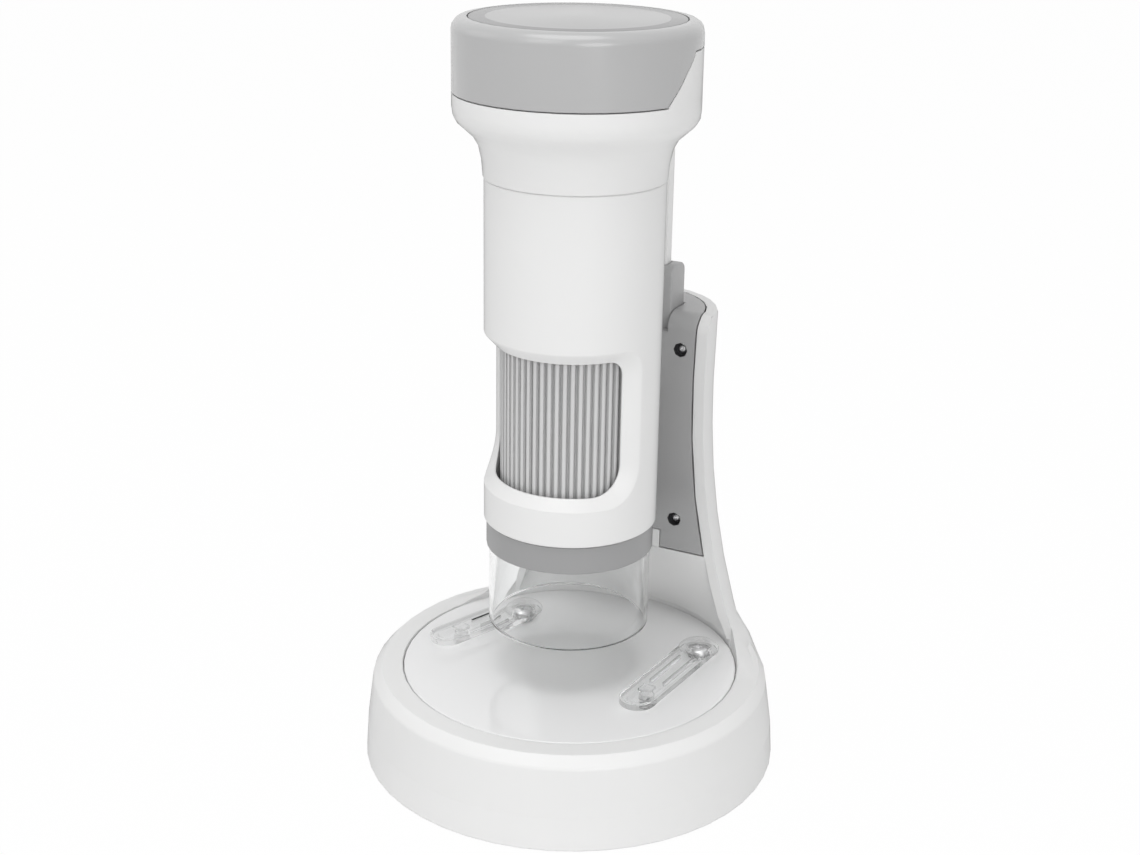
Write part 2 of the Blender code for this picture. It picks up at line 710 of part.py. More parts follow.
def make_base_pieces():
    """The cover, ballast, feet and screws under the foot, and the disc on top."""
    share = (COVER_TOP_Z - FOOT_PROUD) / (CREASE_Z - FOOT_PROUD)
    cover_r = SKIRT_R - BASE_WALL + (CREASE_R - SKIRT_R) * share - GAP
    cover = rod("base_cover", cover_r, COVER_Z, COVER_TOP_Z, BASE_STEPS, material="white_plastic")
    for i in range(4):
        angle = math.pi / 4 + math.pi / 2 * i
        place = (FOOT_RING_R * math.cos(angle), FOOT_RING_R * math.sin(angle), 0)
        recess = rod(f"foot_recess_{i + 1}", FOOT_R + GAP, COVER_Z - OVERRUN, COVER_Z + FOOT_RECESS,
                     SMALL_STEPS, place=place)
        cut(cover, recess)
        rod(f"foot_{i + 1}", FOOT_R - SEAM, 0, COVER_Z + FOOT_RECESS - GAP, SMALL_STEPS, FOOT_R,
            material="rubber", place=place)
        angle = math.pi / 2 * i
        place = (BASE_SCREW_RING_R * math.cos(angle), BASE_SCREW_RING_R * math.sin(angle), 0)
        sink = turned(
            f"base_sink_{i + 1}",
            [(0, COVER_TOP_Z + OVERRUN), (BASE_SHANK_R + GAP, COVER_TOP_Z + OVERRUN),
             (BASE_SHANK_R + GAP, COVER_Z + BASE_HEAD_T), (BASE_HEAD_R + GAP, COVER_Z + BASE_HEAD_T),
             (BASE_HEAD_R + GAP, COVER_Z - OVERRUN), (0, COVER_Z - OVERRUN)],
            TINY_STEPS, place=place,
        )
        cut(cover, sink)
        head_z = COVER_Z + BASE_HEAD_T - GAP
        turned(
            f"base_screw_{i + 1}",
            [(0, head_z + BASE_SHANK_L), (BASE_SHANK_R, head_z + BASE_SHANK_L), (BASE_SHANK_R, head_z),
             (BASE_HEAD_R, head_z), (BASE_HEAD_R, COVER_Z), (0, COVER_Z)],
            TINY_STEPS, "steel", place,
        )
    rod("ballast_plate", BALLAST_R, BOSS_Z, BOSS_Z + BALLAST_T, BODY_STEPS, material="steel")

    low = LEDGE_LOW_Z - RING_DROP / 2
    disc = turned(
        "stage_disc",
        [(0, STAGE_Z), (DISC_R - DISC_CHAMFER, STAGE_Z), (DISC_R, STAGE_Z - DISC_CHAMFER),
         (DISC_R, STAGE_Z - DISC_T), (LEDGE_R - GAP, STAGE_Z - DISC_T),
         (LEDGE_R - GAP, low), (LEDGE_R - GAP - RING_T, low), (LEDGE_R - GAP - RING_T, STAGE_Z - DISC_T),
         (0, STAGE_Z - DISC_T)],
        BASE_STEPS, "white_plastic",
    )
    for name, shares in CLIP_PIVOT_SHARES.items():
        place = (DISC_R * shares[0], DISC_R * shares[1], 0)
        boss = rod(f"clip_boss_{name}", CLIP_BOSS_R, low, STAGE_Z - DISC_T / 2, TINY_STEPS, place=place)
        join(disc, boss)
        hole = rod(f"clip_hole_{name}", CLIP_SHANK_R + GAP, low - OVERRUN, STAGE_Z + OVERRUN, TINY_STEPS,
                   place=place)
        cut(disc, hole)


def panel_ring(y, low_z, high_z, steps):
    """The panel's outline at a depth, narrowed with the column from the cove up to its top."""
    ring = []
    for i in range(steps + 1):
        z = low_z + (high_z - low_z) * i / steps
        ring.append((half_width(z) - LIP - PANEL_SEAM, y, z))
    return ring + [(-x, y, z) for x, y, z in reversed(ring)]


def cross_recess(name, place, turn, depth_z):
    """The cross in a screw's head."""
    first = box(name, (-CROSS_L / 2, -CROSS_W / 2, depth_z), (CROSS_L / 2, CROSS_W / 2, depth_z + OVERRUN),
                place=place, turn=turn)
    second = box(name + "_b", (-CROSS_W / 2, -CROSS_L / 2, depth_z), (CROSS_W / 2, CROSS_L / 2, depth_z + OVERRUN),
                 place=place, turn=turn)
    join(first, second)
    return first


def make_panel():
    """The grey front panel with the carriage's channel behind it, and its four screws."""
    low_z = COVE_TOP_Z + GAP
    panel = loft(
        "column_panel",
        [panel_ring(COLUMN_FRONT_Y, low_z, COLUMN_TOP_Z, 8), panel_ring(PANEL_BACK_Y, low_z, COLUMN_TOP_Z, 8)],
        material="grey_plastic",
    )
    cap_rings = []
    for z in (COLUMN_TOP_Z - PANEL_T, COLUMN_TOP_Z):
        cap_rings.append(round_section(z, LIP + PANEL_SEAM, COLUMN_FRONT_Y + PANEL_T / 2))
    cap = loft("panel_cap", cap_rings)
    join(panel, cap)
    outer_x = CHANNEL_HALF_W + CHANNEL_WALL
    channel = box(
        "channel_box",
        (-outer_x, COLUMN_FRONT_Y + PANEL_T / 2, CHANNEL_FLOOR_Z - CHANNEL_FLOOR_T),
        (outer_x, CHANNEL_BACK_Y + CHANNEL_BACK_T, COLUMN_TOP_Z - PANEL_T / 2),
    )
    join(panel, channel)
    number = 0
    boss_back = PANEL_BACK_Y + PANEL_T + PANEL_T + SEAM * 5 - GAP
    head_y = COLUMN_FRONT_Y + PANEL_SINK
    turn = (math.pi / 2, 0, 0)
    for z in PANEL_SCREW_Z:
        for x in (-PANEL_SCREW_X, PANEL_SCREW_X):
            number += 1
            place = (x, 0, z)
            boss = rod(f"panel_boss_{number}", PANEL_BOSS_R, -boss_back, -COLUMN_FRONT_Y - PANEL_T / 2,
                       TINY_STEPS, place=place, turn=turn)
            join(panel, boss)
    inside = box("channel_cut", (-CHANNEL_HALF_W, PANEL_BACK_Y, CHANNEL_FLOOR_Z),
                 (CHANNEL_HALF_W, CHANNEL_BACK_Y, COLUMN_TOP_Z + OVERRUN))
    mouth = box("mouth_cut", (-CHANNEL_HALF_W, COLUMN_FRONT_Y - OVERRUN, LEDGE_Z),
                (CHANNEL_HALF_W, PANEL_BACK_Y + OVERRUN, COLUMN_TOP_Z + OVERRUN * 2))
    slot = box("slot_cut", (-SLOT_HALF_W, COLUMN_FRONT_Y - OVERRUN, SLOT_Z),
               (SLOT_HALF_W, PANEL_BACK_Y + OVERRUN, LEDGE_Z + OVERRUN))
    notch = box("notch_cut", (-CHANNEL_HALF_W, COLUMN_FRONT_Y - OVERRUN, low_z - OVERRUN),
                (CHANNEL_HALF_W, PANEL_BACK_Y + OVERRUN, COVE_TOP_Z + NOTCH_H))
    cut(panel, inside, mouth, slot, notch, rolled_cutter("panel_roll", COLUMN_FRONT_Y, COLUMN_TOP_Z))
    number = 0
    for z in PANEL_SCREW_Z:
        for x in (-PANEL_SCREW_X, PANEL_SCREW_X):
            number += 1
            place = (x, 0, z)
            floor = -(head_y + PANEL_HEAD_T + GAP)
            sink = turned(
                f"panel_sink_{number}",
                [(0, -COLUMN_FRONT_Y + OVERRUN), (PANEL_HEAD_R + GAP, -COLUMN_FRONT_Y + OVERRUN),
                 (PANEL_HEAD_R + GAP, floor), (PANEL_SHANK_R + GAP, floor),
                 (PANEL_SHANK_R + GAP, -boss_back - OVERRUN), (0, -boss_back - OVERRUN)],
                TINY_STEPS, place=place, turn=turn,
            )
            cut(panel, sink)
            under = -(head_y + PANEL_HEAD_T)
            screw = turned(
                f"panel_screw_{number}",
                [(0, -head_y), (PANEL_HEAD_R - SEAM, -head_y), (PANEL_HEAD_R, -head_y - SEAM),
                 (PANEL_HEAD_R, under), (PANEL_SHANK_R, under),
                 (PANEL_SHANK_R, under - PANEL_SHANK_L + OVERRUN * 2), (0, under - PANEL_SHANK_L + OVERRUN * 2)],
                TINY_STEPS, "steel", place, turn,
            )
            cut(screw, cross_recess(f"panel_cross_{number}", place, turn, -head_y - CROSS_DEPTH))
    return panel


def make_carriage():
    """The sliding carriage, its T-groove, and the sprung pad that holds it by friction."""
    top_z = CARRIAGE_Z + CARRIAGE_H
    low = CARRIAGE_Y
    outline = [(low, CARRIAGE_Z), (CARRIAGE_BACK_Y, CARRIAGE_Z), (CARRIAGE_BACK_Y, top_z)]
    for i in range(7):
        angle = math.pi / 2 * i / 6
        outline.append((low + CARRIAGE_ROUND * (1 - math.sin(angle)), top_z - CARRIAGE_ROUND * (1 - math.cos(angle))))
    carriage = slab("carriage", outline, 2 * CARRIAGE_HALF_W, material="grey_plastic",
                    turn=(math.pi / 2, 0, math.pi / 2))
    add_bevel(carriage, CARRIAGE_EDGE, 2)
    groove_x = SPINE_HEAD_HALF_W + GAP
    groove = box("groove_cut", (-groove_x, LIP_BACK_Y, GROOVE_Z), (groove_x, GROOVE_BACK_Y, top_z + OVERRUN))
    neck_x = SPINE_NECK_HALF_W + GAP
    neck = box("neck_cut", (-neck_x, CARRIAGE_Y - OVERRUN, GROOVE_Z), (neck_x, LIP_BACK_Y + OVERRUN, top_z + OVERRUN * 2))
    pocket_z = CARRIAGE_Z + PAD_RISE
    turn = (math.pi / 2, 0, 0)
    pocket = rod("pad_pocket", PAD_R + GAP, -CARRIAGE_BACK_Y - OVERRUN, -CARRIAGE_BACK_Y + POCKET_DEPTH,
                 SMALL_STEPS, place=(0, 0, pocket_z), turn=turn)
    cut(carriage, groove, neck, pocket)
    pad_y = CARRIAGE_BACK_Y + SEAM
    rod("friction_pad", PAD_R, -pad_y, -pad_y + PAD_T, SMALL_STEPS, material="dark_plastic",
        place=(0, 0, pocket_z), turn=turn)
    floor_y = CARRIAGE_BACK_Y - POCKET_DEPTH
    first = floor_y + GAP + SPRING_WIRE_R
    last = pad_y - PAD_T - GAP - SPRING_WIRE_R
    coil("friction_spring", pocket_z, first, last)
    return carriage


def coil(name, height, first, last):
    """A coil spring along Y, with eight points a turn."""
    count = SPRING_TURNS * 8
    curve = bpy.data.curves.new(name, "CURVE")
    curve.dimensions = "3D"
    curve.bevel_depth = SPRING_WIRE_R
    curve.bevel_resolution = 1
    curve.use_fill_caps = True
    spline = curve.splines.new("POLY")
    spline.points.add(count)
    for i, point in enumerate(spline.points):
        angle = 2 * math.pi * i / 8
        point.co = (SPRING_R * math.cos(angle), first + (last - first) * i / count,
                    SPRING_R * math.sin(angle), 1)
    obj = bpy.data.objects.new(name, curve)
    obj.location = (0, 0, height)
    curve.materials.append(MATERIALS["steel"])
    PARTS.objects.link(obj)
    return obj


def make_clip(name):
    """A clear stage clip with its bush and countersunk screw, turning about the screw."""
    place = (DISC_R * CLIP_PIVOT_SHARES[name][0], DISC_R * CLIP_PIVOT_SHARES[name][1], 0)
    angle = CLIP_ANGLES[name]
    top_z = CLIP_Z + CLIP_T
    outline = capsule(CLIP_L, CLIP_HALF_W + CLIP_COLLAR_RISE, CLIP_TIP_R, 8)
    middle = (CLIP_Z + top_z) / 2
    clip = slab(f"clip_{name}", outline, CLIP_T, CLIP_EDGE, material="clear_plastic",
                place=(*place[:2], middle), turn=(0, 0, angle))
    collar = turned(
        f"clip_collar_{name}",
        [(0, top_z + CLIP_COLLAR_RISE), (CLIP_COLLAR_R - CLIP_COLLAR_RISE, top_z + CLIP_COLLAR_RISE),
         (CLIP_COLLAR_R, top_z), (CLIP_COLLAR_R, CLIP_Z + GAP), (0, CLIP_Z + GAP)],
        SMALL_STEPS, place=place,
    )
    join(clip, collar)
    reach = capsule(CLIP_SLOT_L, CLIP_SLOT_HALF_W, CLIP_SLOT_HALF_W, 4)
    groove = slab(f"clip_groove_{name}", [(x, y - CLIP_COLLAR_R - CLIP_SLOT_HALF_W) for x, y in reach],
                  2 * CLIP_SLOT_DEPTH, place=(*place[:2], top_z), turn=(0, 0, angle))
    cut(clip, groove)
    reach = Matrix.Rotation(angle, 3, "Z") @ Vector((0, -CLIP_PAD_REACH, 0))
    pad = rod(f"clip_pad_{name}", CLIP_PAD_R, STAGE_Z + GAP, CLIP_Z + CLIP_T / 2, TINY_STEPS,
              place=(place[0] + reach.x, place[1] + reach.y, 0))
    join(clip, pad)
    bore = rod(f"clip_bore_{name}", CLIP_BUSH_R + GAP, CLIP_Z - OVERRUN, top_z + OVERRUN, SMALL_STEPS, place=place)
    head_z = top_z + CLIP_COLLAR_RISE - CLIP_HEAD_T
    sink = rod(f"clip_sink_{name}", CLIP_HEAD_R + GAP, head_z - GAP, top_z + OVERRUN * 2, SMALL_STEPS, place=place)
    cut(clip, bore, sink)
    turned(
        f"clip_bush_{name}",
        [(CLIP_SHANK_R + SEAM, head_z - GAP - SEAM), (CLIP_BUSH_R, head_z - GAP - SEAM),
         (CLIP_BUSH_R, CLIP_Z - GAP), (CLIP_HEAD_R, CLIP_Z - GAP), (CLIP_HEAD_R, STAGE_Z + GAP),
         (CLIP_SHANK_R + SEAM, STAGE_Z + GAP)],
        SMALL_STEPS, "steel", place, ring=True,
    )
    screw = turned(
        f"clip_screw_{name}",
        [(0, head_z + CLIP_HEAD_T - SEAM), (CLIP_HEAD_R - SEAM, head_z + CLIP_HEAD_T - SEAM),
         (CLIP_HEAD_R, head_z + CLIP_HEAD_T - SEAM * 2), (CLIP_HEAD_R, head_z), (CLIP_SHANK_R, head_z),
         (CLIP_SHANK_R, head_z - CLIP_SHANK_L), (0, head_z - CLIP_SHANK_L)],
        SMALL_STEPS, "steel", place,
    )
    recess = cross_recess(f"clip_cross_{name}", place, (0, 0, 0), head_z + CLIP_HEAD_T - SEAM - CROSS_DEPTH)
    cut(screw, recess)


def window_rows(share, z_pair, half_angle, corner_pair, radius):
    """Lower and upper height of a rounded window outline, and its azimuth, at a place from -1 to 1 round it."""
    azimuth = share * half_angle
    from_end = (half_angle - abs(azimuth)) * radius
    rows = []
    for z, corner, side in ((z_pair[0], corner_pair[0], 1), (z_pair[1], corner_pair[1], -1)):
        inside = max(corner - from_end, 0)
        rows.append(z + side * (corner - math.sqrt(max(corner**2 - inside**2, 0))))
    return azimuth, rows[0], rows[1]


def window_cutter():
    """The barrel's window with its full-thickness bevel, following the barrel round."""
    shares = [-1, -0.995, -0.98, -0.955, -0.92, -0.87]
    shares += [-0.8 + 0.1 * i for i in range(8)]
    shares = shares + [0.0 - share for share in reversed(shares)]
    land_r = BODY_BORE_R + WINDOW_LAND
    past = 0.3  # share of the bevel that the cutter runs on past the skin
    columns = []
    for share in shares:
        low, high = [], []
        inner = window_rows(share, WINDOW_Z, WINDOW_HALF_ANGLE, WINDOW_CORNER, BODY_BORE_R)
        outer = window_rows(share, CREASE_WINDOW_Z, CREASE_HALF_ANGLE, CREASE_CORNER, BODY_R)
        beyond = [b + (b - a) * past for a, b in zip(inner, outer)]
        beyond_r = BODY_R + (BODY_R - land_r) * past
        for radius, rows in ((BODY_BORE_R - OVERRUN, inner), (land_r, inner), (beyond_r, beyond),
                             (beyond_r + OVERRUN, beyond)):
            low.append(on_axis(radius, WINDOW_TURN + rows[0], rows[1]))
            high.append(on_axis(radius, WINDOW_TURN + rows[0], rows[2]))
        columns.append((low, high))
    return ladder("window_cut", columns)


def make_body():
    """The white barrel with its window and the lower part of the T-rail."""
    body = rod("body_shell", BODY_R, BODY_Z, NECK_SEAM_Z, BODY_STEPS, material="white_plastic", place=(0, AXIS_Y, 0))
    neck_y = AXIS_Y + BODY_BORE_R / 2
    neck = box("spine_neck", (-SPINE_NECK_HALF_W, neck_y, SPINE_Z), (SPINE_NECK_HALF_W, SPINE_HEAD_Y + GAP, NECK_SEAM_Z - GAP))
    head = box("spine_head", (-SPINE_HEAD_HALF_W, SPINE_HEAD_Y, SPINE_Z), (SPINE_HEAD_HALF_W, SPINE_BACK_Y, NECK_SEAM_Z - GAP))
    join(body, neck, head)
    bore = turned(
        "body_bore",
        [(0, NECK_SEAM_Z + OVERRUN), (BODY_UPPER_R, NECK_SEAM_Z + OVERRUN), (BODY_UPPER_R, WHEEL_STEP_Z),
         (BODY_BORE_R, WHEEL_STEP_Z), (BODY_BORE_R, BODY_Z - OVERRUN), (0, BODY_Z - OVERRUN)],
        BODY_STEPS, place=(0, AXIS_Y, 0),
    )
    cut(body, bore, window_cutter())
    return body


def flare_profile():
    """The neck's outer side from the head down to the barrel, as shares of the step between their radii."""
    shares = ((1.0, 0.84), (0.965, 0.74), (0.86, 0.67), (0.62, 0.59), (0.36, 0.5),
              (0.18, 0.38), (0.075, 0.2), (0.02, 0.0))
    low = NECK_SEAM_Z + GAP
    return [(BODY_R + (HEAD_R - BODY_R) * out, low + (FLARE_Z - low) * up) for out, up in shares]


def make_neck():
    """The flared neck, its spigot in the bezel, the white field behind the head and the T-rail's upper end."""
    flare = flare_profile()
    wall = HEAD_WALL
    top = FLARE_Z + SPIGOT_H
    spigot_in = FIELD_R
    profile = [(SPIGOT_R, top), (SPIGOT_R, FLARE_Z), (HEAD_R, FLARE_Z)] + flare
    profile[-1] = (flare[-1][0], flare[-1][1] - OVERRUN / 2)
    profile.append((BODY_UPPER_R, flare[-1][1] - OVERRUN / 2))
    low_z = flare[-2][1]
    profile.append((BODY_UPPER_R, low_z))
    for r, z in (flare[4], flare[2]):
        profile.append((min(r - wall, spigot_in - GAP), z + wall / 2))
    profile.append((spigot_in, FLARE_Z - wall))
    profile.append((spigot_in, top))
    neck = turned("neck_shell", profile, BODY_STEPS, "white_plastic", (0, AXIS_Y, 0), ring=True)
    join(neck, field_block("rear_field", 0, HEAD_R - SEAM / 10, SPIGOT_R - GAP, FLARE_Z - wall / 2))

    # The rail's upper end, whose back runs up into the flare
    low = NECK_SEAM_Z + GAP
    flare_back = AXIS_Y + HEAD_R - wall
    back = []
    for i in range(9):
        rise = i / 8
        y = SPINE_BACK_Y - (SPINE_BACK_Y - flare_back) * (1 - math.cos(math.pi / 2 * rise))
        back.append((y, low + (SPINE_TOP_Z - low) * rise))
    back.insert(0, (SPINE_BACK_Y, low - OVERRUN))
    front = AXIS_Y + BODY_UPPER_R + GAP
    near = [(min(y - SEAM, SPINE_HEAD_Y + GAP), z) for y, z in back]
    near += [(AXIS_Y + BODY_R + wall, SPINE_TOP_Z), (front, low + wall), (front, low - OVERRUN)]
    far = [(y, z) for y, z in back if y > SPINE_HEAD_Y + GAP]
    far += [(SPINE_HEAD_Y, far[-1][1] + GAP), (SPINE_HEAD_Y, low - OVERRUN)]
    for name, half, outline in (("rail_neck", SPINE_NECK_HALF_W, near), ("rail_head", SPINE_HEAD_HALF_W, far)):
        rail = slab(name, outline, 2 * half, turn=(math.pi / 2, 0, math.pi / 2))
        join(neck, rail)
    seam = box("neck_seam", (-SPINE_BACK_Y, -SPINE_BACK_Y, low - OVERRUN * 2), (SPINE_BACK_Y, SPINE_BACK_Y + OVERRUN, low))
    cut(neck, seam)
    for side, name in ((1, "power"), (-1, "shutter")):
        azimuth = math.pi - side * BUTTON_ANGLE
        hole = rod(f"{name}_hole", BUTTON_R + GAP, FIELD_R - OVERRUN, HEAD_R + OVERRUN, SMALL_STEPS,
                   place=(0, AXIS_Y, BUTTON_Z), turn=(math.pi / 2, 0, azimuth))
        cut(neck, hole)
    port_z = BOARD_TOP_Z + GAP
    port = box("port_hole", (-PORT_W / 2 - GAP, 0, port_z - GAP),
               (PORT_W / 2 + GAP, AXIS_Y + HEAD_R + OVERRUN, port_z + PORT_H + GAP))
    cut(neck, port)
    return neck


def field_block(name, gap, outer, inner, low_z):
    """The white field behind the head: a band of the rim that climbs along a slant at each side."""
    start = FIELD_LOW_ANGLE - gap / HEAD_R
    high = FIELD_HIGH_ANGLE - gap / HEAD_R
    step = 2 * math.pi / BODY_STEPS
    azimuths = [step * i for i in range(BODY_STEPS // 2 + 1) if step * i > start + step / 10]
    azimuths = sorted(azimuths + [start, high])
    azimuths += [2 * math.pi - azimuth for azimuth in reversed(azimuths[:-1])]
    columns = []
    for azimuth in azimuths:
        near = min(azimuth, 2 * math.pi - azimuth)
        rise = min((near - start) / (high - start), 1)
        top = FLARE_Z + GAP + gap + (FIELD_TOP_Z - FLARE_Z - GAP) * rise
        # On the barrel's facets, so that the block lies flush with the turned wall
        flat = math.cos(step / 2) / math.cos(azimuth % step - step / 2)
        columns.append(([on_axis(r * flat, azimuth, low_z) for r in (inner, outer)],
                        [on_axis(r * flat, azimuth, top) for r in (inner, outer)]))
    return ladder(name, columns)


def make_head():
    """The grey bezel, the display under its glass, the board and the buttons."""
    place = (0, AXIS_Y, 0)
    top = BEZEL_TOP_Z
    bore = HEAD_R - HEAD_WALL
    seat_r = GLASS_R + GAP
    ledge_r = seat_r - GLASS_LEDGE
    profile = [(seat_r, top)]
    profile += [(r, z) for r, z in arc(HEAD_R - BEZEL_ROUND, top - BEZEL_ROUND, BEZEL_ROUND, 90, 0, 4)]
    profile += [(HEAD_R, BEZEL_Z), (bore, BEZEL_Z), (bore, GLASS_SEAT_Z - GLASS_LEDGE_T - GLASS_LEDGE),
                (ledge_r, GLASS_SEAT_Z - GLASS_LEDGE_T), (ledge_r, GLASS_SEAT_Z), (seat_r, GLASS_SEAT_Z)]
    bezel = turned("head_bezel", profile, BODY_STEPS, "silver_plastic", place, ring=True)
    cut(bezel, field_block("field_cut", GAP, HEAD_R + OVERRUN, FIELD_R - OVERRUN, FLARE_Z - OVERRUN))
    rod("display_glass", GLASS_R, GLASS_SEAT_Z + GAP, top, BODY_STEPS, material="display_glass", place=place)
    rod("display_module", MODULE_R, GLASS_SEAT_Z - MODULE_T, GLASS_SEAT_Z, BODY_STEPS, material="dark_plastic", place=place)
    board_r = FIELD_R - GAP
    board = rod("main_board", board_r, BOARD_Z, BOARD_TOP_Z, BODY_STEPS, material="circuit_board", place=place)
    sides = ((1, "power"), (-1, "shutter"))
    for side, name in sides:
        azimuth = math.pi - side * BUTTON_ANGLE
        turn = (math.pi / 2, 0, azimuth)
        flange_r = BUTTON_R + BUTTON_FLANGE
        sag = FIELD_R - math.sqrt(FIELD_R**2 - flange_r**2)
        seat = FIELD_R - sag - GAP * 2
        face = HEAD_R + BUTTON_PROUD
        button = turned(
            f"{name}_button",
            [(0, face), (BUTTON_R - GAP, face), (BUTTON_R, face - GAP), (BUTTON_R, seat), (flange_r, seat),
             (flange_r, seat - BUTTON_FLANGE_T), (0, seat - BUTTON_FLANGE_T)],
            SMALL_STEPS, "white_plastic", (0, AXIS_Y, BUTTON_Z), turn,
        )
        button.name = f"{name}_button"
        behind = seat - BUTTON_FLANGE_T - BUTTON_TRAVEL - GAP
        switch_z = BOARD_TOP_Z + GAP
        box(f"{name}_switch", (-SWITCH_W / 2, -behind, switch_z), (SWITCH_W / 2, -behind + SWITCH_D, switch_z + SWITCH_H),
            material="dark_plastic", place=place, turn=(0, 0, azimuth))
    port_z = BOARD_TOP_Z + GAP
    mouth = AXIS_Y + HEAD_R - GAP * 2
    port = box("usb_port", (-PORT_W / 2, mouth - PORT_D, port_z), (PORT_W / 2, mouth, port_z + PORT_H), material="steel")
    add_bevel(port, PORT_WALL, 2)
    room = box("port_room", (-PORT_W / 2 + PORT_WALL, mouth - PORT_D + PORT_WALL * 2, port_z + PORT_WALL),
               (PORT_W / 2 - PORT_WALL, mouth + OVERRUN, port_z + PORT_H - PORT_WALL))
    cut(port, room)
    return bezel, board


def make_inside():
    """The battery, its frame and the ribbon cable between the barrel and the head."""
    place = (0, AXIS_Y, 0)
    frame = rod("inner_frame", BODY_UPPER_R - GAP * 2, FRAME_Z, FRAME_Z + FRAME_T, INNER_STEPS, material="dark_plastic", place=place)
    upper_low = FRAME_TOP_Z - FRAME_T
    upper = rod("frame_top", FIELD_R - GAP * 2, upper_low, FRAME_TOP_Z, INNER_STEPS, place=place)
    plate = box("frame_plate", (-FRAME_PLATE_HALF_W, FRAME_PLATE_Y - FRAME_PLATE_T, FRAME_Z + FRAME_T / 2),
                (FRAME_PLATE_HALF_W, FRAME_PLATE_Y, upper_low + FRAME_T / 2))
    join(frame, upper, plate)
    slit_y = (RIBBON_Y - RIBBON_T * 2, RIBBON_Y + RIBBON_T * 3)
    slit = box("ribbon_slit", (-RIBBON_W / 2 - GAP, slit_y[0], FRAME_Z - OVERRUN), (RIBBON_W / 2 + GAP, slit_y[1], FRAME_TOP_Z + OVERRUN))
    cut(frame, slit)
    back = FRAME_PLATE_Y - FRAME_PLATE_T - GAP
    low = FRAME_Z + FRAME_T + BATTERY_RISE
    battery = box("battery", (-BATTERY_HALF_W, back - BATTERY_T, low), (BATTERY_HALF_W, back, low + BATTERY_H), material="battery_wrap")
    add_bevel(battery, GAP * 4, 2)
    board_top = TUBE_TOP_Z + GAP + BOARD_T
    box("ribbon_cable", (-RIBBON_W / 2, RIBBON_Y, board_top + GAP), (RIBBON_W / 2, RIBBON_Y + RIBBON_T, BOARD_Z - GAP),
        material="ribbon")


def make_wheel():
    """The ribbed focus wheel with a helical groove in its bore for the lens barrel's pin."""
    root = WHEEL_R - RIB_H
    rib_shares = ((0.0, 0.0), (0.28, 0.0), (0.46, 1.0), (0.82, 1.0))
    rings = []
    for z in (WHEEL_Z, WHEEL_TOP_Z):
        ring = []
        for rib in range(WHEEL_RIBS):
            for along, rise in rib_shares:
                angle = 2 * math.pi * (rib + along) / WHEEL_RIBS
                radius = root + RIB_H * rise
                ring.append((radius * math.cos(angle), radius * math.sin(angle), z))
        rings.append(ring)
    wheel = loft("focus_wheel", rings, material="silver_plastic", place=(0, AXIS_Y, 0))
    bore = rod("wheel_bore", HUB_R, WHEEL_Z - OVERRUN, WHEEL_TOP_Z + OVERRUN, BODY_STEPS, place=(0, AXIS_Y, 0))
    # The groove falls as it goes round, so turning the wheel forward lifts the pin
    half = PIN_R + GAP
    reach = TUBE_R + PIN_REACH + GAP * 2
    spread = FOCUS_ANGLE + math.atan2(half * 2, HUB_R)
    rings = []
    for i in range(21):
        turn = spread * (i / 10 - 1)
        z = PIN_Z - FOCUS_RATIO * turn
        ring = []
        for radius, offset in ((HUB_R - GAP * 2, -half), (reach, -half), (reach, half), (HUB_R - GAP * 2, half)):
            ring.append((-radius * math.sin(turn), radius * math.cos(turn), z + offset))
        rings.append(ring)
    groove = loft("wheel_groove", rings, place=(0, AXIS_Y, 0))
    cut(wheel, bore, groove)
    return wheel


